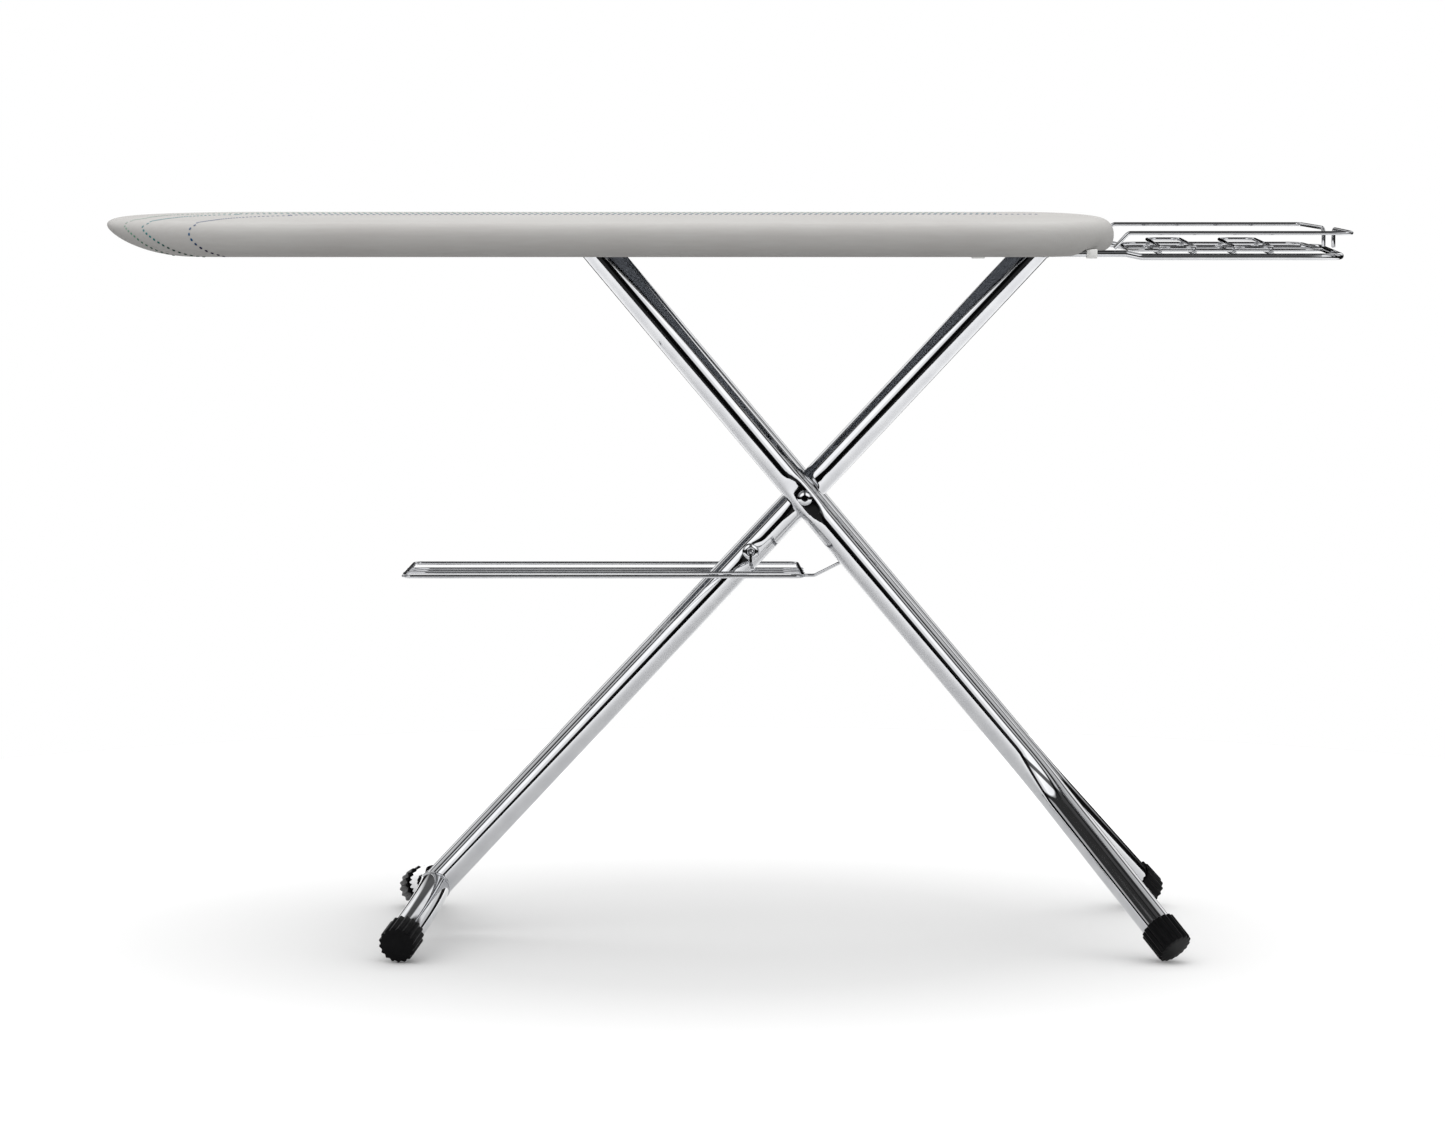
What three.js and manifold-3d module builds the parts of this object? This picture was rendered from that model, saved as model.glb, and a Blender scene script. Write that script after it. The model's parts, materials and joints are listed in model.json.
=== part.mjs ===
// A folding ironing board: a padded board on crossed chrome legs, with a wire iron rest at the heel
// and a wire laundry rack hung in the crossing.
// Millimetres, +Z up. The floor is Z = 0, X = 0 is half way along, Y = 0 is the middle of the width,
// and +X points from the nose of the board to the iron rest.

import * as THREE from 'three';
import { mergeVertices } from 'three/addons/utils/BufferGeometryUtils.js';
import Module from 'manifold-3d';

// ---------------------------------------------------------------- driving dimensions

const GAP = 0.3; // room left between pieces that touch
const DEG = Math.PI / 180;

const BOARD = {
  noseX: -756.5,
  heelX: 475.5,
  halfWidth: 190,
  topZ: 888,
  bottomZ: 847,
  noseRound: 165, // length of the half ellipse that ends the nose
  heelRound: 110,
  edgeRound: 20, // how far in the rounded edge reaches
  noseRise: 26, // how far the underside climbs towards the tip
  riseLength: 120,
};
const COVER_THICKNESS = 1.5;
const HEM_WIDTH = 45;
const PAD_THICKNESS = 8;
const PLATE_THICKNESS = 1.4;
const PAD_BOTTOM = BOARD.topZ - COVER_THICKNESS - PAD_THICKNESS - GAP;
const PLATE_TOP = PAD_BOTTOM - GAP;
const PLATE_BOTTOM = PLATE_TOP - PLATE_THICKNESS;
const MOUNT_Z = PLATE_BOTTOM - GAP; // top of whatever is fixed under the plate

const LEG_RADIUS = 19;
const LEG_WALL = 1.5;
const PIVOT = { x: 97, z: 548 };
const HINGE_Z = 855;
const TOP_BAR_Z = 853.5;
const INNER_ANGLE = 46.9 * DEG; // slope of the inner leg, which runs down to the nose side
const OUTER_ANGLE = 50.05 * DEG; // slope of the outer legs, which run down to the heel side
const OUTER_Y = 45; // the outer tubes stand this far to each side of the inner one

const CAP_LENGTH = 38;
const CAP_CREST = 23;
const CAP_ROOT = 21.6;
const CAP_RIBS = 17;
const CAP_BORE_DEPTH = 32;
const CAP_BEVEL = { length: 1.5, depth: 1 }; // the softened edges at both ends of a cap

const OUTER_SPLAY = 35 * DEG; // outward bend at the foot of the outer legs
const OUTER_FOOT_Y = 213; // outer end of the caps
const INNER_FOOT_Y = 219;
const ARCH_SLOPE = 23 * DEG; // how steeply the cross foot meets its caps

const RACK = {
  left: -394,
  right: 96,
  halfWidth: 79,
  z: 453.5,
  wireRadius: 2.2,
  hangerX: 31.3,
};

const REST = {
  legY: 131,
  legZ: 849.5, // its two legs run straight through the hem, so that it can slide
  endX: 742.5,
  baseZ: 845.6,
  baseRadius: 4,
  railZ: 874.5,
  railRadius: 2.4,
  crossX: [525, 567, 615, 660],
};

const HEM_SLOT = { fromX: 378, halfWidth: 8.5, topZ: 855 }; // lets a leg of the rest through

const LEVER = { x: -95, z: 846, shaftRadius: 4 };

// ---------------------------------------------------------------- materials

const look = (color, roughness, metalness) =>
  new THREE.MeshStandardMaterial({ color, roughness, metalness });

const CHROME = look(0xd8d9da, 0.08, 1);
const STEEL = look(0xa9abad, 0.35, 1);
const ENAMEL = look(0xcfd0d0, 0.45, 0.1);
const COVER_FABRIC = look(0xa9a6a2, 0.95, 0);
const FELT = look(0xe4e1da, 1, 0);
const BLACK_RUBBER = look(0x0c0c0d, 0.55, 0);
const WHITE_NYLON = look(0xe9e9e6, 0.4, 0);
const GREY_NYLON = look(0x3b3d40, 0.5, 0);

// ---------------------------------------------------------------- solids

const wasm = await Module();
wasm.setup();

/** A closed three.js geometry as a solid that can be joined and cut. */
function solidOf(geometry) {
  const bare = geometry.clone();
  bare.deleteAttribute('normal');
  bare.deleteAttribute('uv');
  const merged = mergeVertices(bare, 1e-4);
  return new wasm.Manifold(
    new wasm.Mesh({
      numProp: 3,
      vertProperties: merged.attributes.position.array,
      triVerts: new Uint32Array(merged.index.array),
    }),
  );
}

/** A joined or cut solid as a three.js geometry again. */
function geometryOf(solid) {
  const { vertProperties, triVerts } = solid.getMesh();
  const geometry = new THREE.BufferGeometry();
  geometry.setAttribute('position', new THREE.BufferAttribute(vertProperties, 3));
  geometry.setIndex(new THREE.BufferAttribute(triVerts, 1));
  geometry.computeVertexNormals();
  return geometry;
}

/** The first geometry with the others cut out of it. */
function cut(geometry, ...tools) {
  let solid = solidOf(geometry);
  for (const tool of tools) {
    solid = solid.subtract(solidOf(tool));
  }
  return geometryOf(solid);
}

/** Several overlapping geometries joined into one. */
function join(geometry, ...others) {
  let solid = solidOf(geometry);
  for (const other of others) {
    solid = solid.add(solidOf(other));
  }
  return geometryOf(solid);
}

/** The part of a geometry between two heights. */
function slice(geometry, lowZ, highZ) {
  const reach = 4000;
  const slab = new THREE.BoxGeometry(reach, reach, highZ - lowZ);
  slab.translate(0, 0, (lowZ + highZ) / 2);
  return geometryOf(solidOf(geometry).intersect(solidOf(slab)));
}

const at = (x, y, z) => new THREE.Vector3(x, y, z);

/** A cylinder or thick disc whose axis runs along Y. */
function roundAlongY(radius, fromY, toY, x = 0, z = 0, sides = 20) {
  const round = new THREE.CylinderGeometry(radius, radius, toY - fromY, sides);
  round.translate(x, (fromY + toY) / 2, z);
  return round;
}

/** A flat outline drawn in X and Z, given a thickness along Y. */
function plateAlongY(shape, fromY, toY, curveSegments = 8) {
  const plate = new THREE.ExtrudeGeometry(shape, {
    depth: toY - fromY,
    bevelEnabled: false,
    curveSegments,
  });
  plate.rotateX(Math.PI / 2);
  plate.translate(0, toY, 0);
  return plate;
}

/** A profile of [radius, height] corners turned about the Y axis. */
function turned(profile, sides = 20) {
  const points = profile.map(([radius, height]) => new THREE.Vector2(radius, height));
  return new THREE.LatheGeometry(points, sides);
}

// ---------------------------------------------------------------- tubes and wires

/** A path with one station at each given point, so that a straight run is a single step. */
class Route extends THREE.Curve {
  constructor(points) {
    super();
    this.points = points;
  }

  station(t) {
    return Math.round(t * (this.points.length - 1));
  }

  getPoint(t) {
    return this.points[this.station(t)].clone();
  }

  getPointAt(t) {
    return this.getPoint(t);
  }

  getTangentAt(t) {
    const here = this.station(t);
    const before = this.points[Math.max(here - 1, 0)];
    const after = this.points[Math.min(here + 1, this.points.length - 1)];
    const middle = this.points[here];
    const arriving = middle.clone().sub(before).normalize();
    const leaving = after.clone().sub(middle).normalize();
    return arriving.add(leaving).normalize();
  }
}

/** Corner points joined by straight runs, with every inner corner rounded to a bend radius. */
function bentRoute(corners, bendRadius, degreesPerStep = 23) {
  const points = [corners[0].clone()];
  for (let i = 1; i < corners.length - 1; i += 1) {
    const corner = corners[i];
    const arriving = corner.clone().sub(corners[i - 1]).normalize();
    const leaving = corners[i + 1].clone().sub(corner).normalize();
    const turn = arriving.angleTo(leaving);
    const axis = arriving.clone().cross(leaving).normalize();
    const start = corner.clone().addScaledVector(arriving, -bendRadius * Math.tan(turn / 2));
    const centre = start.clone().addScaledVector(axis.clone().cross(arriving), bendRadius);
    const steps = Math.max(2, Math.ceil(turn / DEG / degreesPerStep));
    for (let step = 0; step <= steps; step += 1) {
      const spoke = start.clone().sub(centre).applyAxisAngle(axis, (turn * step) / steps);
      points.push(centre.clone().add(spoke));
    }
  }
  points.push(corners[corners.length - 1].clone());
  return points;
}

function roundSection(radius, boreRadius = 0) {
  const section = new THREE.Shape().absarc(0, 0, radius, 0, 2 * Math.PI, false);
  if (boreRadius > 0) {
    section.holes.push(new THREE.Path().absarc(0, 0, boreRadius, 0, 2 * Math.PI, true));
  }
  return section;
}

/** A round bar or tube swept through a list of points. */
function sweep(points, radius, boreRadius = 0, sides = 20) {
  return new THREE.ExtrudeGeometry(roundSection(radius, boreRadius), {
    steps: points.length - 1,
    extrudePath: new Route(points),
    curveSegments: sides / 2,
    bevelEnabled: false,
  });
}

const legTube = (points) => sweep(points, LEG_RADIUS, LEG_RADIUS - LEG_WALL, 16);

const wire = (corners, radius, bendRadius) => sweep(bentRoute(corners, bendRadius), radius, 0, 6);

/** A wire bent into a closed loop, with a hairline left where its two ends meet. */
function wireLoop(corners, radius, bendRadius) {
  const seam = corners[0].clone().lerp(corners[corners.length - 1], 0.5);
  const towardsLast = corners[corners.length - 1].clone().sub(seam).normalize();
  const lastEnd = seam.clone().addScaledVector(towardsLast, GAP);
  return wire([seam, ...corners, lastEnd], radius, bendRadius);
}

// ---------------------------------------------------------------- the object's tree

const ironingBoard = new THREE.Group();

/** Adds a named piece to a group and returns it. */
function piece(group, name, geometry, material) {
  const mesh = new THREE.Mesh(geometry, material);
  mesh.name = name;
  group.add(mesh);
  return mesh;
}

/** Calls a function for the near side (-Y) and the far side (+Y). */
function bothSides(make) {
  make('near', -1);
  make('far', 1);
}

// ---------------------------------------------------------------- the padded board

/** The outline of the board in plan, drawn in from its edge. */
function boardOutline(inset, noseInset = inset, Path = THREE.Shape) {
  const width = BOARD.halfWidth - inset;
  const noseCentre = BOARD.noseX + BOARD.noseRound;
  const heelCentre = BOARD.heelX - BOARD.heelRound;
  const outline = new Path();
  outline.moveTo(noseCentre, -width);
  outline.lineTo(heelCentre, -width);
  outline.absellipse(heelCentre, 0, BOARD.heelRound - inset, width, -Math.PI / 2, Math.PI / 2);
  outline.lineTo(noseCentre, width);
  outline.absellipse(
    noseCentre, 0, BOARD.noseRound - noseInset, width, Math.PI / 2, (3 * Math.PI) / 2,
  );
  return outline;
}

/** The whole board as a slab with a rounded edge, some distance inside its outer skin. */
function boardSlab(depthInside) {
  const { topZ, bottomZ, noseX, noseRise, riseLength, edgeRound } = BOARD;
  const thickness = topZ - bottomZ;
  const flat = 1;
  const round = (thickness - 2 * depthInside - flat) / 2;
  const slab = new THREE.ExtrudeGeometry(boardOutline(depthInside + edgeRound), {
    depth: flat,
    bevelThickness: round,
    bevelSize: edgeRound,
    bevelSegments: 4,
    curveSegments: 10,
  });
  slab.translate(0, 0, bottomZ + depthInside + round);
  const position = slab.attributes.position;
  for (let i = 0; i < position.count; i += 1) {
    const fromTip = Math.min((position.getX(i) - noseX) / riseLength, 1);
    const squeeze = 1 - (noseRise * (1 - fromTip) ** 2) / thickness;
    position.setZ(i, topZ - (topZ - position.getZ(i)) * squeeze);
  }
  return slab;
}

/** A straight-sided block with the board's outline. */
function boardPrism(inset, lowZ, highZ) {
  const prism = new THREE.ExtrudeGeometry(boardOutline(inset), {
    depth: highZ - lowZ,
    bevelEnabled: false,
    curveSegments: 10,
  });
  prism.translate(0, 0, lowZ);
  return prism;
}

/** The oval tube that the plate sits on, its ends meeting at a weld on the near side. */
function rimTube() {
  const radius = 10;
  const sideInset = 15;
  const noseInset = 66;
  const outline = boardOutline(sideInset, noseInset, THREE.Path).getPoints(8);
  const height = MOUNT_Z - radius;
  const points = outline.map(({ x, y }) => at(x, y, height));
  const lastPoint = points[points.length - 1];
  lastPoint.x -= GAP;
  return sweep(points, radius, radius - 1.2, 10);
}

/** The room left in the hem for one leg of the iron rest. */
function hemSlot(side) {
  const { fromX, halfWidth, topZ } = HEM_SLOT;
  const toX = BOARD.heelX + 10;
  const height = 20;
  const slot = new THREE.BoxGeometry(toX - fromX, 2 * halfWidth, height);
  slot.translate((fromX + toX) / 2, side * REST.legY, topZ - height / 2);
  return slot;
}

function makeBoard() {
  const board = new THREE.Group();
  const belowTheHem = BOARD.bottomZ - 10;
  const insideTheCover = BOARD.bottomZ + 23;

  const cover = cut(
    boardSlab(0),
    boardSlab(COVER_THICKNESS),
    boardPrism(HEM_WIDTH, belowTheHem, insideTheCover),
    hemSlot(-1),
    hemSlot(1),
  );
  piece(board, 'cover', cover, COVER_FABRIC);
  const underCover = COVER_THICKNESS + GAP;
  piece(board, 'felt_pad', slice(boardSlab(underCover), PAD_BOTTOM, BOARD.topZ), FELT);
  piece(board, 'top_plate', slice(boardSlab(underCover + 2), PLATE_BOTTOM, PLATE_TOP), STEEL);
  piece(board, 'rim_tube', rimTube(), ENAMEL);
  return board;
}

// ---------------------------------------------------------------- fittings under the plate

const INNER_LENGTH_ABOVE = (HINGE_Z - PIVOT.z) / Math.sin(INNER_ANGLE);
const OUTER_LENGTH_ABOVE = (TOP_BAR_Z - PIVOT.z) / Math.sin(OUTER_ANGLE);
const HINGE_X = PIVOT.x + INNER_LENGTH_ABOVE * Math.cos(INNER_ANGLE);
const TOP_BAR_X = PIVOT.x - OUTER_LENGTH_ABOVE * Math.cos(OUTER_ANGLE);

const GLIDE = { radius: 6.5, fromY: 74, toY: 88 };

/** A C-shaped rail, open to the middle, hung from the plate by a turned-out flange. */
function slideRail(side) {
  const sheet = 1.5;
  const innerY = GLIDE.fromY - 3;
  const webY = GLIDE.toY + 2;
  const lowZ = TOP_BAR_Z - GLIDE.radius - 2;
  const highZ = TOP_BAR_Z + GLIDE.radius + 2;
  const corners = [
    [innerY, lowZ - sheet],
    [webY + sheet, lowZ - sheet],
    [webY + sheet, MOUNT_Z - sheet],
    [webY + 15, MOUNT_Z - sheet],
    [webY + 15, MOUNT_Z],
    [webY, MOUNT_Z],
    [webY, highZ + sheet],
    [innerY, highZ + sheet],
    [innerY, highZ],
    [webY, highZ],
    [webY, lowZ],
    [innerY, lowZ],
  ];
  const section = new THREE.Shape(corners.map(([y, z]) => new THREE.Vector2(side * y, z)));
  const fromX = -455;
  const toX = -138;
  const rail = new THREE.ExtrudeGeometry(section, { depth: toX - fromX, bevelEnabled: false });
  rail.rotateX(Math.PI / 2);
  rail.rotateZ(Math.PI / 2);
  rail.translate(fromX, 0, 0);
  return rail;
}

/** A tongue-shaped plate hung from the top plate, with a hole for a pin. */
function hangerPlate(x, z, fromY, toY, holeRadius, halfWidth) {
  const outline = new THREE.Shape();
  outline.moveTo(x + halfWidth, MOUNT_Z);
  outline.lineTo(x - halfWidth, MOUNT_Z);
  outline.lineTo(x - halfWidth, z);
  outline.absarc(x, z, halfWidth, Math.PI, 2 * Math.PI, false);
  outline.holes.push(new THREE.Path().absarc(x, z, holeRadius, 0, 2 * Math.PI, true));
  return plateAlongY(outline, fromY, toY);
}

function makeLegFittings() {
  const fittings = new THREE.Group();
  const pinRadius = 4;
  const bracketY = 97;
  const bracketOuterY = 100;
  bothSides((sideName, side) => {
    piece(fittings, `slide_rail_${sideName}`, slideRail(side), STEEL);
    const from = Math.min(side * bracketY, side * bracketOuterY);
    const bracket = hangerPlate(HINGE_X, HINGE_Z, from, from + 3, pinRadius + GAP, 11.5);
    piece(fittings, `hinge_bracket_${sideName}`, bracket, STEEL);
  });
  const headY = bracketOuterY + GAP;
  const pin = join(
    roundAlongY(pinRadius, -headY - 3, headY + 3),
    roundAlongY(7, -headY - 3, -headY),
    roundAlongY(7, headY, headY + 3),
  );
  piece(fittings, 'hinge_pin', pin, STEEL).position.set(HINGE_X, 0, HINGE_Z);
  return fittings;
}

// ---------------------------------------------------------------- foot caps

/** A ribbed cap with a blind bore, drawn with its closed end at the origin, opening along +Z. */
function footCap() {
  const outline = new THREE.Shape();
  const middle = (CAP_CREST + CAP_ROOT) / 2;
  const swing = (CAP_CREST - CAP_ROOT) / 2;
  const pointsPerRib = 2;
  const count = CAP_RIBS * pointsPerRib;
  for (let i = 0; i < count; i += 1) {
    const angle = (2 * Math.PI * i) / count;
    const radius = middle + swing * Math.cos(CAP_RIBS * angle) - CAP_BEVEL.depth;
    const corner = [radius * Math.cos(angle), radius * Math.sin(angle)];
    if (i === 0) {
      outline.moveTo(...corner);
    } else {
      outline.lineTo(...corner);
    }
  }
  const body = new THREE.ExtrudeGeometry(outline, {
    depth: CAP_LENGTH - 2 * CAP_BEVEL.length,
    bevelThickness: CAP_BEVEL.length,
    bevelSize: CAP_BEVEL.depth,
    bevelSegments: 1,
  });
  body.translate(0, 0, CAP_BEVEL.length);
  const bore = new THREE.CylinderGeometry(LEG_RADIUS + 0.6, LEG_RADIUS + 0.6, CAP_LENGTH, 24);
  bore.rotateX(Math.PI / 2);
  bore.translate(0, 0, CAP_LENGTH / 2 + CAP_LENGTH - CAP_BORE_DEPTH);
  return cut(body, bore);
}

/** Puts a foot cap on a leg with its closed end at a point and one rib's crest on the floor. */
function placeFootCap(leg, name, closedEnd, tubeDirection) {
  const cap = piece(leg, name, footCap(), BLACK_RUBBER);
  const opening = tubeDirection.clone().negate();
  const down = at(0, 0, -1).applyAxisAngle(at(0, 1, 0), -leg.rotation.y);
  const crest = down.addScaledVector(opening, -down.dot(opening)).normalize();
  const across = opening.clone().cross(crest);
  cap.position.copy(closedEnd);
  cap.quaternion.setFromRotationMatrix(new THREE.Matrix4().makeBasis(crest, across, opening));
}

/** How far below a leg's pivot, along the leg, a cap's closed end is when it rests on the floor. */
function footReach(slope, tubeDrop) {
  const lean = Math.sqrt(1 - tubeDrop ** 2);
  const shoulder = CAP_CREST * lean - CAP_BEVEL.length * tubeDrop;
  const rim = (CAP_CREST - CAP_BEVEL.depth) * lean;
  return (PIVOT.z - Math.max(shoulder, rim)) / Math.sin(slope);
}

// ---------------------------------------------------------------- the inner leg

// Both legs are drawn with the origin at the crossing bolt and +X down the leg to its foot.

const BOLT_RADIUS = 4;
const BOLT_HOLE = BOLT_RADIUS + 0.5;
const HANGER_WIRE_RADIUS = 1.8;
const EYELET_HOLE = HANGER_WIRE_RADIUS + 0.6;
const HANGER_REACH = (PIVOT.x - RACK.hangerX) / Math.cos(INNER_ANGLE);
const HANGER_Z = PIVOT.z - HANGER_REACH * Math.sin(INNER_ANGLE);
const HINGE_TUBE_RADIUS = 11;

/** The arched cross foot as [route, middle, closed end of the cap, direction at the end]. */
function archOfFoot() {
  const direction = at(Math.sin(ARCH_SLOPE), Math.cos(ARCH_SLOPE), 0);
  const drop = direction.x * Math.sin(INNER_ANGLE);
  const endX = footReach(INNER_ANGLE, drop);
  const straight = 30;
  const arcY = INNER_FOOT_Y - straight * direction.y;
  const radius = arcY / Math.sin(ARCH_SLOPE);
  const middleX = endX - straight * direction.x - radius * (1 - Math.cos(ARCH_SLOPE));
  const intoCap = straight - (CAP_LENGTH - CAP_BORE_DEPTH) - GAP;
  const steps = 5;
  const points = [];
  for (let i = -steps; i <= steps; i += 1) {
    const angle = (ARCH_SLOPE * i) / steps;
    points.push(at(middleX + radius * (1 - Math.cos(angle)), radius * Math.sin(angle), 0));
  }
  const lastPoint = points[points.length - 1].clone().addScaledVector(direction, intoCap);
  const firstPoint = at(lastPoint.x, -lastPoint.y, 0);
  return { points: [firstPoint, ...points, lastPoint], middleX, endX, direction };
}

function makeInnerLeg() {
  const leg = new THREE.Group();
  leg.position.set(PIVOT.x, 0, PIVOT.z);
  leg.rotation.y = Math.PI - INNER_ANGLE;

  const arch = archOfFoot();
  const hingeX = -INNER_LENGTH_ABOVE;
  const straightTube = legTube([at(hingeX + 4, 0, 0), at(arch.middleX - 6, 0, 0)]);
  const tube = cut(
    straightTube,
    roundAlongY(HINGE_TUBE_RADIUS + GAP, -60, 60, hingeX),
    roundAlongY(LEG_RADIUS + GAP, -60, 60, arch.middleX, 0, 32),
    roundAlongY(BOLT_HOLE, -60, 60),
    roundAlongY(EYELET_HOLE, -60, 60, HANGER_REACH, 0, 12),
  );
  piece(leg, 'inner_leg_tube', tube, CHROME);

  const hingeTube = sweep([at(hingeX, -96, 0), at(hingeX, 96, 0)], HINGE_TUBE_RADIUS, 5);
  piece(leg, 'hinge_tube', hingeTube, STEEL);
  piece(leg, 'cross_foot_tube', legTube(arch.points), CHROME);

  bothSides((sideName, side) => {
    const end = at(arch.endX, side * INNER_FOOT_Y, 0);
    const direction = at(arch.direction.x, side * arch.direction.y, 0);
    placeFootCap(leg, `inner_foot_cap_${sideName}`, end, direction);

    const bushProfile = [
      [BOLT_HOLE, 0],
      [11, 0],
      [11, 6],
      [BOLT_HOLE, 6],
      [BOLT_HOLE, 0],
    ];
    const bush = piece(leg, `pivot_bush_${sideName}`, turned(bushProfile), GREY_NYLON);
    bush.position.y = side * (LEG_RADIUS + GAP);
    bush.rotation.x = side > 0 ? 0 : Math.PI;

    const eyeletProfile = [
      [EYELET_HOLE, 0],
      [10.5, 0],
      [10.5, 0.8],
      [7, 2.2],
      [4.4, 2.2],
      [EYELET_HOLE, 1.2],
      [EYELET_HOLE, 0],
    ];
    const eyelet = piece(leg, `rack_eyelet_${sideName}`, turned(eyeletProfile), CHROME);
    eyelet.position.set(HANGER_REACH, side * (LEG_RADIUS + GAP), 0);
    eyelet.rotation.x = side > 0 ? 0 : Math.PI;
  });
  return leg;
}

// ---------------------------------------------------------------- the outer legs

const TOP_BAR_RADIUS = 6;

/** One outer leg: straight beside the inner one, then bent outward to its foot cap. */
function outerLegRoute(side) {
  const direction = at(Math.cos(OUTER_SPLAY), side * Math.sin(OUTER_SPLAY), 0);
  const endX = footReach(OUTER_ANGLE, direction.x * Math.sin(OUTER_ANGLE));
  const outward = OUTER_FOOT_Y - OUTER_Y;
  const corner = at(endX - outward / Math.tan(OUTER_SPLAY), side * OUTER_Y, 0);
  const closedEnd = at(endX, side * OUTER_FOOT_Y, 0);
  const capFloor = CAP_LENGTH - CAP_BORE_DEPTH + GAP;
  const tubeEnd = closedEnd.clone().addScaledVector(direction, -capFloor);
  const top = at(-OUTER_LENGTH_ABOVE - 8, side * OUTER_Y, 0);
  return { points: bentRoute([top, corner, tubeEnd], 140, 9), closedEnd, direction };
}

/** The bolt through the crossing, with a domed head that has a hexagon socket. */
function crossingBolt(outerY) {
  const headHeight = 5.5;
  const profile = [
    [0, -outerY],
    [9, -outerY],
    [9, -outerY - 2],
    [7.6, -outerY - 4.4],
    [5, -outerY - headHeight],
    [0, -outerY - headHeight],
  ].reverse();
  const socket = roundAlongY(3.2, -outerY - headHeight - 1, -outerY - 1.5, 0, 0, 6);
  const head = turned(profile, 24);
  const shank = roundAlongY(BOLT_RADIUS, -outerY - 1, outerY + 6, 0, 0, 16);
  return cut(join(head, shank), socket);
}

/** A domed nut that screws onto the end of the bolt. */
function domeNut() {
  const profile = [
    [BOLT_HOLE, 0],
    [9, 0],
    [9, 5],
    [6, 8.5],
    [0, 9.5],
    [0, 7],
    [BOLT_HOLE, 7],
    [BOLT_HOLE, 0],
  ];
  return turned(profile, 24);
}

function makeOuterLegs() {
  const legs = new THREE.Group();
  legs.position.set(PIVOT.x, 0, PIVOT.z);
  legs.rotation.y = OUTER_ANGLE;
  const topX = -OUTER_LENGTH_ABOVE;
  const outerWallY = OUTER_Y + LEG_RADIUS;

  bothSides((sideName, side) => {
    const route = outerLegRoute(side);
    const tube = cut(
      legTube(route.points),
      roundAlongY(BOLT_HOLE, -100, 100),
      roundAlongY(TOP_BAR_RADIUS + GAP, -100, 100, topX, 0, 16),
    );
    piece(legs, `outer_leg_tube_${sideName}`, tube, CHROME);
    placeFootCap(legs, `outer_foot_cap_${sideName}`, route.closedEnd, route.direction);

    const glideProfile = [
      [TOP_BAR_RADIUS - 1.5, 0],
      [GLIDE.radius, 0],
      [GLIDE.radius, GLIDE.toY - GLIDE.fromY],
      [TOP_BAR_RADIUS - 1.5, GLIDE.toY - GLIDE.fromY],
      [TOP_BAR_RADIUS - 1.5, 0],
    ];
    const glide = piece(legs, `top_bar_glide_${sideName}`, turned(glideProfile), WHITE_NYLON);
    glide.position.set(topX, side * GLIDE.fromY, 0);
    glide.rotation.x = side > 0 ? 0 : Math.PI;
  });

  const spigotRadius = TOP_BAR_RADIUS - 1.5 - GAP;
  const shoulderY = GLIDE.fromY - GAP;
  const bar = join(
    roundAlongY(spigotRadius, -GLIDE.toY, GLIDE.toY, topX, 0, 16),
    roundAlongY(TOP_BAR_RADIUS, -shoulderY, shoulderY, topX, 0, 16),
  );
  piece(legs, 'outer_leg_top_bar', bar, STEEL);
  piece(legs, 'crossing_bolt', crossingBolt(outerWallY + GAP), CHROME);
  piece(legs, 'crossing_nut', domeNut(), CHROME).position.y = outerWallY + GAP;
  return legs;
}

// ---------------------------------------------------------------- the laundry rack

function makeLaundryRack() {
  const rack = new THREE.Group();
  const { left, right, halfWidth, z, wireRadius, hangerX } = RACK;
  const frameCorners = [
    at(right, -halfWidth, z),
    at(right - 6, halfWidth, z),
    at(left + 6, halfWidth, z),
    at(left, -halfWidth, z),
  ];
  piece(rack, 'rack_frame', wireLoop(frameCorners, wireRadius, 9), CHROME);

  const thinRadius = 1.7;
  const underneath = z - wireRadius - thinRadius - GAP;
  const nearWireY = -36;
  const nearEnds = [at(left + wireRadius + 4, nearWireY, z), at(right - wireRadius - 4, nearWireY, z)];
  piece(rack, 'rack_wire_near', wire(nearEnds, thinRadius, 1), CHROME);
  const underWires = [
    ['rack_wire_middle', 27],
    ['rack_wire_far', 52],
  ];
  for (const [name, y] of underWires) {
    const ends = [at(left + 2, y, underneath), at(right - 2, y, underneath)];
    piece(rack, name, wire(ends, thinRadius, 1), CHROME);
  }

  const hangerY = 23.7;
  const hanger = [
    at(hangerX + 2, nearWireY, z + thinRadius + HANGER_WIRE_RADIUS + GAP),
    at(hangerX, -hangerY, HANGER_Z - 14),
    at(hangerX, -hangerY, HANGER_Z),
    at(hangerX, hangerY, HANGER_Z),
    at(hangerX, hangerY, underneath + thinRadius + HANGER_WIRE_RADIUS + GAP),
  ];
  piece(rack, 'rack_hanger', wire(hanger, HANGER_WIRE_RADIUS, 2), CHROME);

  const hookY = -22.5;
  const hookLow = z - wireRadius - 2 - GAP;
  const hook = [
    at(right - 14, hookY, hookLow),
    at(right + 14, hookY, hookLow),
    at(right + 48, hookY, hookLow + 17),
    at(right + 62, hookY, hookLow + 15),
  ];
  piece(rack, 'rack_hook', wire(hook, 2, 9), CHROME);
  return rack;
}

// ---------------------------------------------------------------- the iron rest

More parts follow.
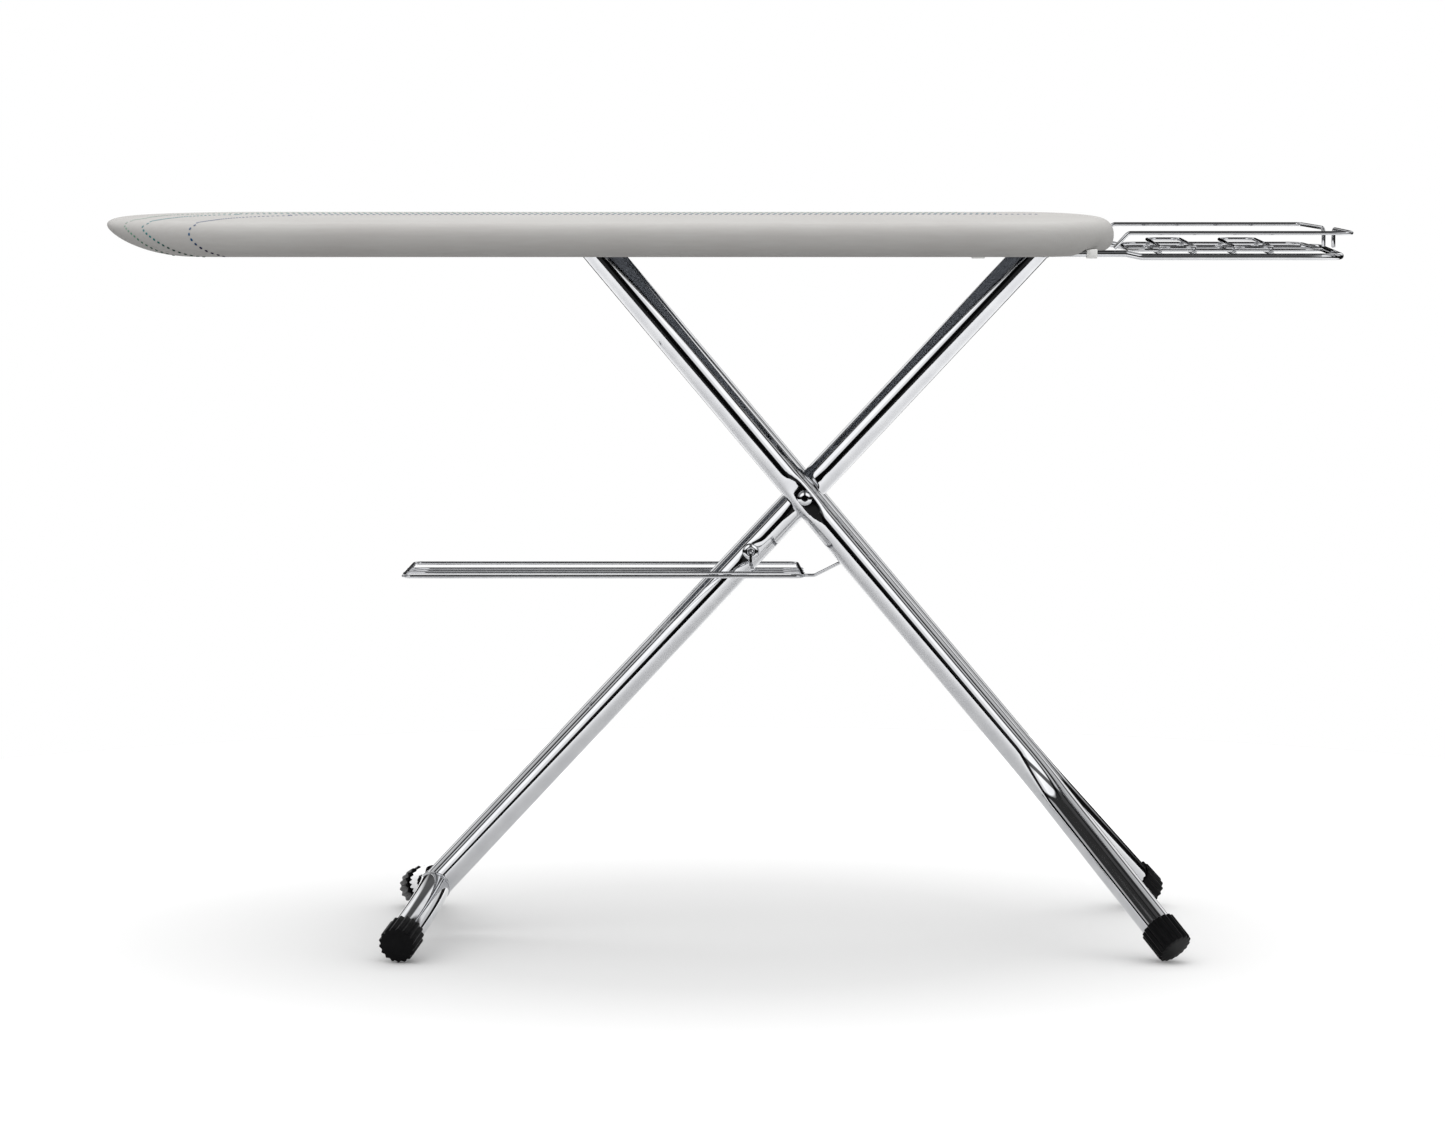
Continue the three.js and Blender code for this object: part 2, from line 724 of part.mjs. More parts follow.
function makeIronRest() {
  const rest = new THREE.Group();
  const { legY, legZ, endX, baseZ, baseRadius, railZ, railRadius, crossX } = REST;

  const baseCorners = [
    at(190, -legY, legZ),
    at(482, -legY, legZ),
    at(500, -legY, baseZ),
    at(endX, -legY, baseZ),
    at(endX, legY, baseZ),
    at(500, legY, baseZ),
    at(482, legY, legZ),
    at(190, legY, legZ),
  ];
  const baseRoute = bentRoute(baseCorners, 26, 18);
  piece(rest, 'rest_base_loop', sweep(baseRoute, baseRadius, 0, 10), CHROME);

  const wireRadius = 2;
  const crossZ = baseZ + baseRadius - wireRadius;
  crossX.forEach((x, index) => {
    const halfLength = legY - baseRadius - GAP;
    const ends = [at(x, -halfLength, crossZ), at(x, halfLength, crossZ)];
    piece(rest, `rest_cross_wire_${index + 1}`, wire(ends, wireRadius, 1), CHROME);
  });

  const innerZ = crossZ + 2 * wireRadius + GAP;
  const innerCorners = [
    at(488, -93, innerZ),
    at(726, -93, innerZ),
    at(716, 93, innerZ),
    at(488, 93, innerZ),
  ];
  piece(rest, 'rest_inner_loop', wireLoop(innerCorners, wireRadius, 22), CHROME);

  const supportZ = innerZ + 2 * wireRadius + GAP;
  const supportPairs = [crossX.slice(0, 2), crossX.slice(2, 4)];
  supportPairs.forEach(([fromX, toX], index) => {
    const corners = [
      at(fromX, -120, supportZ),
      at(toX, -120, supportZ),
      at(toX, 120, supportZ),
      at(fromX, 120, supportZ),
    ];
    piece(rest, `rest_support_wire_${index + 1}`, wireLoop(corners, wireRadius, 12), CHROME);
  });

  const railAbove = baseRadius + railRadius + GAP;
  const farEnd = [719, 735];
  const nearEnd = [754.9, 744];
  bothSides((sideName, side) => {
    const [cornerX, dropX] = side > 0 ? farEnd : nearEnd;
    const corners = [
      at(468, side * legY, legZ + railAbove),
      at(484, side * legY, railZ),
      at(cornerX, side * legY, railZ),
      at(dropX, side * 14, railZ),
      at(dropX, side * 14, baseZ + railAbove),
    ];
    piece(rest, `rest_guard_rail_${sideName}`, wire(corners, railRadius, 8), CHROME);
  });
  return rest;
}

/** A nylon block with a bore for one leg of the iron rest. */
function restGuide(x, side, length, topZ) {
  const { legY, legZ, baseRadius } = REST;
  const halfWidth = baseRadius + 2;
  const outline = new THREE.Shape();
  outline.moveTo(halfWidth, topZ);
  outline.lineTo(-halfWidth, topZ);
  outline.lineTo(-halfWidth, legZ);
  outline.absarc(0, legZ, halfWidth, Math.PI, 2 * Math.PI, false);
  const block = new THREE.ExtrudeGeometry(outline, {
    depth: length,
    bevelEnabled: false,
    curveSegments: 10,
  });
  block.rotateX(Math.PI / 2);
  block.rotateZ(Math.PI / 2);
  block.translate(x, side * legY, 0);
  const bore = new THREE.CylinderGeometry(baseRadius + 0.5, baseRadius + 0.5, length + 4, 20);
  bore.rotateZ(Math.PI / 2);
  bore.translate(x + length / 2, side * legY, legZ);
  return cut(block, bore);
}

function makeRestGuides() {
  const guides = new THREE.Group();
  bothSides((sideName, side) => {
    const heelGuide = restGuide(434, side, 13, HEM_SLOT.topZ - GAP);
    piece(guides, `rest_guide_heel_${sideName}`, heelGuide, WHITE_NYLON);
    const innerGuide = restGuide(296, side, 16, MOUNT_Z);
    piece(guides, `rest_guide_inner_${sideName}`, innerGuide, WHITE_NYLON);
  });
  return guides;
}

// ---------------------------------------------------------------- the release lever

/** The toothed plate that locks the top bar, lying just below the bar's path. */
function latchComb() {
  const { x, z, shaftRadius } = LEVER;
  const tipX = -300;
  const lowZ = z - 8;
  const highZ = z;
  const toothPitch = 32;
  const outline = new THREE.Shape();
  outline.moveTo(x, lowZ);
  outline.absarc(x, z, 8, -Math.PI / 2, Math.PI / 2, false);
  outline.lineTo(x - 12, highZ);
  for (let barX = TOP_BAR_X; barX > tipX; barX -= toothPitch) {
    outline.lineTo(barX + 5, highZ);
    outline.absarc(barX, highZ, 5, 0, Math.PI, true);
  }
  outline.lineTo(tipX, highZ);
  outline.lineTo(tipX, lowZ);
  outline.holes.push(new THREE.Path().absarc(x, z, shaftRadius + GAP, 0, 2 * Math.PI, true));
  return plateAlongY(outline, 66, 69, 6);
}

/** The bent plate that the user squeezes up towards the board. */
function leverHandle() {
  const { x, z, shaftRadius } = LEVER;
  const hub = 7.5;
  const outline = new THREE.Shape();
  outline.moveTo(x, z - hub);
  outline.lineTo(x + 60, z - 9);
  outline.lineTo(x + 108, z - 9.5);
  outline.lineTo(x + 108, z - 6.5);
  outline.lineTo(x + 60, z - 6);
  outline.lineTo(x + hub, z);
  outline.absarc(x, z, hub, 0, (3 * Math.PI) / 2, false);
  outline.holes.push(new THREE.Path().absarc(x, z, shaftRadius + GAP, 0, 2 * Math.PI, true));
  return plateAlongY(outline, 105, 137);
}

/** A soft grip pushed over the end of the handle. */
function leverGrip() {
  const { x, z } = LEVER;
  const outer = new THREE.BoxGeometry(44, 36, 7.4);
  outer.translate(x + 89, 121, z - 8);
  const slot = new THREE.BoxGeometry(44, 32 + 2 * GAP, 4.2);
  slot.translate(x + 86, 121, z - 8);
  return cut(outer, slot);
}

/** The spring that turns the comb back up to the bar. */
function leverSpring() {
  const { x, z, shaftRadius } = LEVER;
  const turns = 5;
  const perTurn = 8;
  const coilRadius = shaftRadius + 2;
  const points = [];
  for (let i = 0; i <= turns * perTurn; i += 1) {
    const angle = (2 * Math.PI * i) / perTurn;
    const along = 74 + (14 * i) / (turns * perTurn);
    points.push(at(x + coilRadius * Math.cos(angle), along, z + coilRadius * Math.sin(angle)));
  }
  return sweep(points, 0.8, 0, 4);
}

function makeReleaseLever() {
  const lever = new THREE.Group();
  const { x, z, shaftRadius } = LEVER;
  piece(lever, 'lever_shaft', roundAlongY(shaftRadius, 65, 144, x, z, 16), STEEL);
  piece(lever, 'latch_comb', latchComb(), STEEL);
  piece(lever, 'lever_handle', leverHandle(), STEEL);
  piece(lever, 'lever_grip', leverGrip(), GREY_NYLON);
  return lever;
}

function makeLeverFittings() {
  const fittings = new THREE.Group();
  const { x, z, shaftRadius } = LEVER;
  const inner = hangerPlate(x, z, 94, 96, shaftRadius + GAP, 9);
  piece(fittings, 'lever_bracket_inner', inner, STEEL);
  const outer = hangerPlate(x, z, 141, 143, shaftRadius + GAP, 9);
  piece(fittings, 'lever_bracket_outer', outer, STEEL);
  piece(fittings, 'lever_spring', leverSpring(), STEEL);
  return fittings;
}

// ---------------------------------------------------------------- assembly

ironingBoard.add(
  makeBoard(),
  makeLegFittings(),
  makeRestGuides(),
  makeLeverFittings(),
  makeInnerLeg(),
  makeOuterLegs(),
  makeLaundryRack(),
  makeIronRest(),
  makeReleaseLever(),
);

export default ironingBoard;
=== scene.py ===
"""The looks of a folding ironing board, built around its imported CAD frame.

Metres, +Z up, +X from the nose of the board to the iron rest, +Y away from the camera.
"""

import json
import math

import bmesh
import bpy
from mathutils import Matrix, Quaternion, Vector
from mathutils.bvhtree import BVHTree


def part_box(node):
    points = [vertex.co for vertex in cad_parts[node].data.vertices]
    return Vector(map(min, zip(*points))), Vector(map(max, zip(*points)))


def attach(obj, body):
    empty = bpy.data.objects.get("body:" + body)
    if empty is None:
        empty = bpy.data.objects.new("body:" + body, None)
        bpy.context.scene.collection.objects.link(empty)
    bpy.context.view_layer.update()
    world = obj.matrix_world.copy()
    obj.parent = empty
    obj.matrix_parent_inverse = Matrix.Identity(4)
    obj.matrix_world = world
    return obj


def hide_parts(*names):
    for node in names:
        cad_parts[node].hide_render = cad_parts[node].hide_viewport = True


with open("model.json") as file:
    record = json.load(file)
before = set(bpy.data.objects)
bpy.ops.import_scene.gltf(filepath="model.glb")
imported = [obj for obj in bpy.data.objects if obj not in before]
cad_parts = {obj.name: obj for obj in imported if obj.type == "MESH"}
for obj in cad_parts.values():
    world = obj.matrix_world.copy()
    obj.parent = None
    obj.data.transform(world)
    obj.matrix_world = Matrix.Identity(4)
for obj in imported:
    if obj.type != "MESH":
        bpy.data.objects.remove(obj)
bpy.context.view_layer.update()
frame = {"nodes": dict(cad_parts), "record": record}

# ------------ what the frame says

RECORD = frame["record"]
BODY_OF = {
    node: body
    for body, nodes in RECORD["behaviour"]["bodies"].items()
    for node in nodes
}
SLOT_OF = {part["node"]: part["material_slot"] for part in RECORD["subparts"]}
JOINT_AT = {
    joint["name"]: Vector(joint["pos_m"])
    for joint in RECORD["behaviour"]["joints"]
    if joint.get("pos_m")
}


def middle_of(node):
    low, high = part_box(node)
    return (low + high) / 2


def half_height(node):
    low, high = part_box(node)
    return (high.z - low.z) / 2


X = Vector((1, 0, 0))
Y = Vector((0, 1, 0))
Z = Vector((0, 0, 1))
PIVOT = JOINT_AT["leg_cross"]
HINGE = JOINT_AT["leg_fold"]
TOP_BAR = middle_of("outer_leg_top_bar")
INNER_DOWN = (PIVOT - HINGE).normalized()
OUTER_DOWN = (PIVOT - TOP_BAR).normalized()
SIDES = {"near": -1, "far": 1}

# ------------ driving dimensions

LEG_RADIUS = 0.019
LEG_BORE = 0.0175
OUTER_Y = 0.045
OUTER_SPLAY = math.radians(35)
OUTER_FOOT_Y = 0.213
INNER_FOOT_Y = 0.219
ARCH_SLOPE = math.radians(23)
CAP_CREST = 0.023
CAP_ROOT = 0.0207
CAP_LENGTH = 0.038
CAP_BORE_DEPTH = 0.032
CAP_RIBS = 17

BOARD_NOSE, _, BOARD_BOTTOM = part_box("cover")[0]
BOARD_HEEL, BOARD_HALF_WIDTH, BOARD_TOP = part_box("cover")[1]
BOARD_MIDDLE = (BOARD_TOP + BOARD_BOTTOM) / 2
NOSE_ROUND = 0.165
HEEL_ROUND = 0.110
EDGE_ROUND = 0.020
NOSE_RISE = 0.026
RISE_LENGTH = 0.120
HEM_WIDTH = 0.045
COVER_SHEET = 0.0011

REST_RADIUS = 0.004
REST_LEG_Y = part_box("rest_base_loop")[1].y - REST_RADIUS
REST_LEG_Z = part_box("rest_base_loop")[1].z - REST_RADIUS
REST_LEG_TOP = REST_LEG_Z + REST_RADIUS + 0.0021

# ------------ camera

CAMERA_X = -0.0035
CAMERA_DISTANCE = 6.667
CAMERA_HEIGHT = 1.153
CAMERA_PITCH = math.radians(5.95)


def linked(name, data):
    """A new object in the scene, made of some data."""
    thing = bpy.data.objects.new(name, data)
    bpy.context.scene.collection.objects.link(thing)
    return thing


camera = linked("camera", bpy.data.cameras.new("camera"))
camera.location = (CAMERA_X, -CAMERA_DISTANCE, CAMERA_HEIGHT)
camera.rotation_euler = (math.pi / 2 - CAMERA_PITCH, 0, 0)
camera.data.sensor_width = 36
camera.data.lens = 135.35
camera.data.clip_end = 60
bpy.context.scene.camera = camera

# ------------ materials


class NodeTree:
    """Short calls for the shader nodes that the looks and the sky are made of."""

    def __init__(self, owner):
        owner.use_nodes = True
        self.nodes = owner.node_tree.nodes
        self.links = owner.node_tree.links

    def plug(self, socket, value):
        """Gives a socket a plain value or another node's output."""
        if isinstance(value, bpy.types.NodeSocket):
            self.links.new(value, socket)
        else:
            socket.default_value = value

    def add(self, kind, output, inputs=None, **settings):
        """An output of a new node, which has some settings and inputs."""
        node = self.nodes.new("ShaderNode" + kind)
        for name, value in settings.items():
            setattr(node, name, value)
        for name, value in (inputs or {}).items():
            self.plug(node.inputs[name], value)
        return node.outputs[output]

    def math(self, operation, a, b):
        return self.add("Math", 0, {0: a, 1: b}, operation=operation)

    def ramp(self, factor, stops):
        node = self.nodes.new("ShaderNodeValToRGB")
        elements = node.color_ramp.elements
        for position, _ in stops[2:]:
            elements.new(position)
        for element, (position, color) in zip(elements, stops):
            element.position = position
            element.color = (*color, 1)
        self.plug(node.inputs["Fac"], factor)
        return node.outputs["Color"]


class Look(NodeTree):
    """A material whose patterns lie in the object's own coordinates."""

    def __init__(self, name):
        self.material = bpy.data.materials.new(name)
        super().__init__(self.material)
        self.place = self.add("TexCoord", "Object")

    def noise(self, scale, detail, vector=None):
        inputs = {"Vector": vector or self.place, "Scale": scale, "Detail": detail}
        return self.add("TexNoise", "Fac", inputs)

    def wave(self, scale, direction):
        inputs = {"Vector": self.place, "Scale": scale}
        return self.add("TexWave", "Fac", inputs, bands_direction=direction)

    def spread(self, factor, low, high):
        """A factor from 0 to 1 as a value from low to high."""
        return self.add("MapRange", "Result", {"Value": factor, "To Min": low, "To Max": high})

    def bump(self, height, distance, strength):
        inputs = {"Height": height, "Distance": distance, "Strength": strength}
        return self.add("Bump", "Normal", inputs)

    def surface(self, **values):
        """Sets the shader's sockets, and gives the finished material."""
        for name, value in values.items():
            self.plug(self.nodes["Principled BSDF"].inputs[name.replace("_", " ")], value)
        return self.material


def rgb(red, green, blue):
    """A screen colour from 0 to 255 as the linear colour that shaders use."""
    return tuple(
        c / 12.92 if c <= 0.04045 else ((c + 0.055) / 1.055) ** 2.4
        for c in (red / 255, green / 255, blue / 255)
    )


def mottled_look(name, tones, roughness, bumps, edge=0.3, **values):
    """A look made of three noises, each with its scale, its detail and the two values it drives."""
    look = Look(name)
    scale, detail, dark, light = tones
    color = look.ramp(look.noise(scale, detail), [(edge, dark), (1 - edge, light)])
    scale, detail, low, high = roughness
    rough = look.spread(look.noise(scale, detail), low, high)
    scale, detail, distance, strength = bumps
    normal = look.bump(look.noise(scale, detail), distance, strength)
    return look.surface(Base_Color=color, Roughness=rough, Normal=normal, **values)


def chrome_look():
    tones = (38, 4, rgb(198, 199, 202), rgb(208, 209, 211))
    return mottled_look("chrome", tones, (90, 5, 0.03, 0.06), (22, 2, 0.0004, 0.06), Metallic=1.0)


def zinc_look():
    tones = (160, 6, rgb(122, 125, 130), rgb(158, 160, 164))
    roughness = (70, 5, 0.28, 0.46)
    return mottled_look("zinc", tones, roughness, (900, 3, 0.00005, 0.5), 0.25, Metallic=1.0)


def enamel_look():
    tones = (1400, 2, rgb(176, 178, 180), rgb(200, 201, 202))
    gloss = {"Metallic": 0.35, "Coat_Weight": 0.3, "Coat_Roughness": 0.25}
    return mottled_look("enamel", tones, (60, 3, 0.38, 0.5), (700, 2, 0.00006, 0.6), **gloss)


def cover_look():
    """Fine plain-woven cotton: two crossed sets of threads, with slubs and a little fading."""
    look = Look("cover_cotton")
    threads_per_metre = 260
    warp = look.wave(threads_per_metre, "X")
    weft = look.wave(threads_per_metre, "Y")
    stretched = look.add("Mapping", "Vector", {"Vector": look.place, "Scale": (0.12, 1, 1)})
    slub = look.noise(220, 4, stretched)
    tone = look.math("ADD", look.math("MULTIPLY", slub, 0.6), look.noise(5, 3))
    height = look.math("ADD", look.math("MULTIPLY", warp, weft), look.math("MULTIPLY", slub, 0.7))
    return look.surface(
        Base_Color=look.ramp(tone, [(0.55, rgb(138, 136, 134)), (1.0, rgb(144, 143, 141))]),
        Roughness=look.spread(slub, 0.82, 0.95),
        Normal=look.bump(height, 0.00012, 0.5),
        Sheen_Weight=0.04,
        Specular_IOR_Level=0.12,
    )


def mesh_look():
    """The steel sheet under the felt, darkened and tinted a little blue as painted shade: the shaded
    underside of the board, as the chrome legs reflect it.
    """
    # Painted shade: dark, slightly blue greys instead of the sheet's own lighter grey.
    tones = (140, 5, rgb(84, 88, 95), rgb(104, 108, 114))
    roughness = (60, 4, 0.36, 0.5)
    return mottled_look("painted_shade_steel", tones, roughness, (800, 2, 0.00005, 0.5), Metallic=0.8)


def felt_look():
    # Painted shade: dark, slightly blue greys for the shaded underside of the board, as the chrome
    # legs reflect it, instead of the felt's own paler colour.
    tones = (600, 8, rgb(92, 96, 103), rgb(112, 116, 122))
    return mottled_look("felt", tones, (600, 8, 0.9, 1.0), (600, 8, 0.0006, 0.8), Sheen_Weight=0.3)


def rubber_look():
    tones = (120, 4, rgb(6, 6, 7), rgb(11, 11, 12))
    roughness = (300, 3, 0.26, 0.4)
    bumps = (800, 3, 0.00008, 0.5)
    return mottled_look("rubber", tones, roughness, bumps, Specular_IOR_Level=0.06)


def nylon_look(name, dark, light):
    tones = (200, 4, dark, light)
    return mottled_look(name, tones, (500, 3, 0.34, 0.5), (1500, 2, 0.00004, 0.4))


def thread_look_with_painted_light(name, low, middle, high):
    """Embroidery thread, painted paler as it climbs over the rounded edge: painted shade low down,
    painted highlight on the top.
    """
    look = Look(name)
    level = look.add("SeparateXYZ", "Z", {"Vector": look.place})
    climb = look.math("SUBTRACT", level, BOARD_BOTTOM)
    share = look.math("DIVIDE", climb, BOARD_TOP - BOARD_BOTTOM)
    return look.surface(
        # Colour by height: painted shade low on the edge, the thread's own colour in the middle,
        # painted highlight on the top.
        Base_Color=look.ramp(share, [(0.25, low), (0.6, middle), (0.99, high)]),
        Roughness=look.spread(look.noise(900, 3), 0.6, 0.8),
        Normal=look.bump(look.noise(2500, 2), 0.0001, 0.6),
        Specular_IOR_Level=0.1,
    )


LOOKS = {
    "chrome": chrome_look(),
    "zinc_steel": zinc_look(),
    "frame_enamel": enamel_look(),
    "cover_fabric": cover_look(),
    "felt": felt_look(),
    "black_rubber": rubber_look(),
    "white_nylon": nylon_look("white_nylon", rgb(196, 196, 194), rgb(206, 206, 204)),
    "grey_nylon": nylon_look("grey_nylon", rgb(40, 42, 46), rgb(58, 60, 64)),
}
for node, cad_object in frame["nodes"].items():
    for material_slot in cad_object.material_slots:
        material_slot.material = LOOKS[SLOT_OF[node]]

# ------------ pieces


def creased(mesh, sharp_angle):
    """Smooth faces, with a crease wherever they meet at more than an angle."""
    mesh.shade_smooth()
    mesh.set_sharp_from_angle(angle=math.radians(sharp_angle))


def new_piece(name, verts, faces, sharp_angle=35):
    mesh = bpy.data.meshes.new(name)
    mesh.from_pydata([tuple(v) for v in verts], [], faces)
    mesh.validate()
    tidy = bmesh.new()
    tidy.from_mesh(mesh)
    bmesh.ops.recalc_face_normals(tidy, faces=tidy.faces)
    tidy.to_mesh(mesh)
    tidy.free()
    creased(mesh, sharp_angle)
    return linked(name, mesh)


def goes_with(piece, node, material=None):
    """The piece moves with a CAD node's body and has its look."""
    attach(piece, BODY_OF[node])
    piece.data.materials.clear()
    piece.data.materials.append(material or LOOKS[SLOT_OF[node]])
    return piece


def stands_for(piece, node, material=None):
    """The piece takes the place of a CAD node."""
    goes_with(piece, node, material)
    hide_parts(node)
    return piece


def welded(piece, distance):
    """Joins vertices that lie on one spot, and turns every face outwards."""
    shape = bmesh.new()
    shape.from_mesh(piece.data)
    bmesh.ops.remove_doubles(shape, verts=shape.verts, dist=distance)
    bmesh.ops.dissolve_degenerate(shape, edges=shape.edges, dist=1e-7)
    bmesh.ops.recalc_face_normals(shape, faces=shape.faces)
    shape.to_mesh(piece.data)
    shape.free()
    return piece


def apply_modifiers(piece):
    graph = bpy.context.evaluated_depsgraph_get()
    finished = bpy.data.meshes.new_from_object(piece.evaluated_get(graph))
    piece.modifiers.clear()
    piece.data = finished


def carve(piece, tool):
    """Cuts one object out of another, and removes the tool."""
    cutter = piece.modifiers.new("cut", "BOOLEAN")
    cutter.object = tool
    cutter.operation = "DIFFERENCE"
    cutter.solver = "EXACT"
    apply_modifiers(piece)
    bpy.data.objects.remove(tool)
    piece.data.set_sharp_from_angle(angle=math.radians(35))


def softened(node, width):
    """A copy of a CAD sheet or moulded part with its edges rounded off."""
    shape = bmesh.new()
    shape.from_mesh(frame["nodes"][node].data)
    bmesh.ops.remove_doubles(shape, verts=shape.verts, dist=1e-6)
    flat = math.radians(1)
    bmesh.ops.dissolve_limit(shape, angle_limit=flat, verts=shape.verts, edges=shape.edges)
    edges = [e for e in shape.edges if e.is_manifold and e.calc_face_angle() > math.radians(40)]
    bmesh.ops.bevel(shape, geom=edges, offset=width, segments=2, affect="EDGES", profile=0.6)
    mesh = bpy.data.meshes.new(f"{node}_soft")
    shape.to_mesh(mesh)
    shape.free()
    creased(mesh, 38)
    stands_for(linked(mesh.name, mesh), node)


# ------------ paths and tubes


def bent(corners, bend_radius, step_degrees=6):
    """Corner points joined by straight runs, with every inner corner rounded."""
    points = [corners[0].copy()]
    for before, corner, after in zip(corners, corners[1:], corners[2:]):
        arriving = (corner - before).normalized()
        leaving = (after - corner).normalized()
        turn = arriving.angle(leaving)
        if turn < 1e-4:
            continue
        axis = arriving.cross(leaving).normalized()
        start = corner - arriving * bend_radius * math.tan(turn / 2)
        centre = start + axis.cross(arriving) * bend_radius
        steps = max(3, math.ceil(math.degrees(turn) / step_degrees))
        for step in range(steps + 1):
            spoke = Quaternion(axis, turn * step / steps) @ (start - centre)
            points.append(centre + spoke)
    points.append(corners[-1].copy())
    return points


def bent_loop(corners, bend_radius):
    """The same for a closed loop, starting half way along its last side."""
    seam = (corners[0] + corners[-1]) / 2
    return bent([seam, *corners, seam], bend_radius)[:-1]


def divided(points, spacing):
    """The same path with stations no further apart than a spacing."""
    result = [points[0].copy()]
    for start, end in zip(points, points[1:]):
        steps = max(1, math.ceil((end - start).length / spacing))
        result += [start.lerp(end, step / steps) for step in range(1, steps + 1)]
    return result


def stations(points, closed):
    """(centre, tangent, normal, binormal) at each point, with as little twist as possible."""
    count = len(points)
    result = []
    normal = None
    for i, centre in enumerate(points):
        before = points[i - 1] if closed or i > 0 else centre
        after = points[(i + 1) % count] if closed or i < count - 1 else centre
        tangent = ((after - centre).normalized() + (centre - before).normalized()).normalized()
        if normal is None:
            normal = tangent.cross(Y if abs(tangent.y) < 0.9 else X).normalized()
        normal = (normal - tangent * normal.dot(tangent)).normalized()
        result.append((centre, tangent, normal, tangent.cross(normal)))
    return result


def circle(count, radius=1.0):
    """Evenly spaced pairs of coordinates round a circle."""
    angles = [2 * math.pi * k / count for k in range(count)]
    return [(radius * math.cos(angle), radius * math.sin(angle)) for angle in angles]


def band(low, high, sides):
    """Faces between two rings of vertices, given the first vertex of each."""
    after = [*range(1, sides), 0]
    return [(low + k, low + after[k], high + after[k], high + k) for k in range(sides)]


def tube(name, points, radius, bore=0.0, sides=32, closed=False, reshape=None, taper=None):
    """A round bar or tube along a path. reshape moves one point of a skin: (centre, offset)."""
    path = stations(points, closed)
    rings = len(path)
    verts, faces = [], []
    for skin_radius in [radius, bore] if bore else [radius]:
        first = len(verts)
        for i, (centre, _, normal, binormal) in enumerate(path):
            scale = taper(i / (rings - 1)) if taper else 1.0
            for x, y in circle(sides):
                offset = (normal * x + binormal * y) * skin_radius
                if reshape:
                    offset = reshape(centre, offset)
                verts.append(centre + offset * scale)
        for ring in range(rings if closed else rings - 1):
            faces += band(first + ring * sides, first + (ring + 1) % rings * sides, sides)
    if closed:
        return new_piece(name, verts, faces, 50)
    for ring, outward in ((0, -path[0][1]), (rings - 1, path[-1][1])):
        rim = ring * sides
        if bore:
            faces += band(rim, rings * sides + rim, sides)
            continue
        centre = path[ring][0]
        dome = len(verts)
        for place in verts[rim : rim + sides]:
            verts.append(centre + (place - centre) * 0.72 + outward * radius * 0.28)
        faces += band(rim, dome, sides)
        faces.append(list(range(dome, dome + sides)))
    return new_piece(name, verts, faces, 50)


def turned(name, profile, origin, direction, sides=48):
    """A closed profile of (radius, height) points turned about an axis."""
    turn = Z.rotation_difference(direction)
    rows = len(profile)
    verts, faces = [], []
    for k, (x, y) in enumerate(circle(sides)):
        for radius, height in profile:
            verts.append(origin + turn @ Vector((radius * x, radius * y, height)))
        faces += band(k * rows, (k + 1) % sides * rows, rows)
    return welded(new_piece(name, verts, faces, 40), 1e-7)


def blobs(name, places, node, material=None, rings=6, sides=10):
    """Small lumps, such as welds or stitches, each given by its three half-axis vectors."""
    verts, faces = [], []
    for centre, along, across, up in places:
        first = len(verts)
        verts.append(centre - up)
        for ring in range(1, rings):
            polar = math.pi * ring / rings
            level = centre - up * math.cos(polar)
            verts += [level + (along * x + across * y) * math.sin(polar) for x, y in circle(sides)]
        verts.append(centre + up)
        last = len(verts) - 1
        for low in range(first + 1, last - sides, sides):
            faces += band(low, low + sides, sides)
        for k in range(sides):
            after = (k + 1) % sides
            faces.append((first, first + 1 + after, first + 1 + k))
            faces.append((last - sides + k, last - sides + after, last))
    return goes_with(new_piece(name, verts, faces), node, material)


# ------------ the padded board

NOSE_CENTRE = BOARD_NOSE + NOSE_ROUND
HEEL_CENTRE = BOARD_HEEL - HEEL_ROUND


def outline_stations():
    """(part, share of the part, share of the whole way round), from the near side's nose end."""
    straight = HEEL_CENTRE - NOSE_CENTRE
    parts = [("near", straight, 150), ("heel", 0.45, 180), ("far", straight, 150), ("nose", 0.5, 140)]
    around = sum(length for _, length, _ in parts)
    travelled = 0
    result = []
    for part, length, steps in parts:
        for step in range(steps):
            share = step / steps
            result.append((part, share, (travelled + length * share) / around))
        travelled += length
    return result


OUTLINE = outline_stations()


def outline_point(station, inset, nose_inset=None):
    """A point of the board's plan outline, drawn in by an inset, at height zero."""
    part, share, _ = station
    half = BOARD_HALF_WIDTH - inset
    if part == "near":
        return Vector((NOSE_CENTRE + (HEEL_CENTRE - NOSE_CENTRE) * share, -half, 0))
    if part == "far":
        return Vector((HEEL_CENTRE - (HEEL_CENTRE - NOSE_CENTRE) * share, half, 0))
    angle = math.pi * (share - 0.5)
    if part == "heel":
        reach = HEEL_ROUND - inset
        return Vector((HEEL_CENTRE + reach * math.cos(angle), half * math.sin(angle), 0))
    reach = NOSE_ROUND - (inset if nose_inset is None else nose_inset)
    return Vector((NOSE_CENTRE - reach * math.cos(angle), -half * math.sin(angle), 0))


def towards_spine(point, share):
    """Moves a point of the outline towards the middle line of the board."""
    spine = Vector((min(max(point.x, NOSE_CENTRE), HEEL_CENTRE), 0, point.z))
    return spine.lerp(point, share)


def lifted(point):
    """Squeezes the board's thickness near the tip, where the underside climbs."""
    from_tip = min((point.x - BOARD_NOSE) / RISE_LENGTH, 1)
    squeeze = 1 - NOSE_RISE * (1 - from_tip) ** 2 / (BOARD_TOP - BOARD_BOTTOM)
    return Vector((point.x, point.y, BOARD_TOP - (BOARD_TOP - point.z) * squeeze))


def joined_rings(name, rings, sharp_angle=60, weld_distance=2e-5):
    """A skin over rings that all have the same number of points."""
    count = len(rings[0])
    faces = []
    for low in range(0, (len(rings) - 1) * count, count):
        faces += band(low, low + count, count)
    points = [point for ring in rings for point in ring]
    return welded(new_piece(name, points, faces, sharp_angle), weld_distance)


def outline_ring(inset, height, share=1):
    """A ring round the board at a height, or a share of the way out from its middle line."""
    edge = [outline_point(station, inset) for station in OUTLINE]
    return [lifted(towards_spine(point, share) + Z * height) for point in edge]


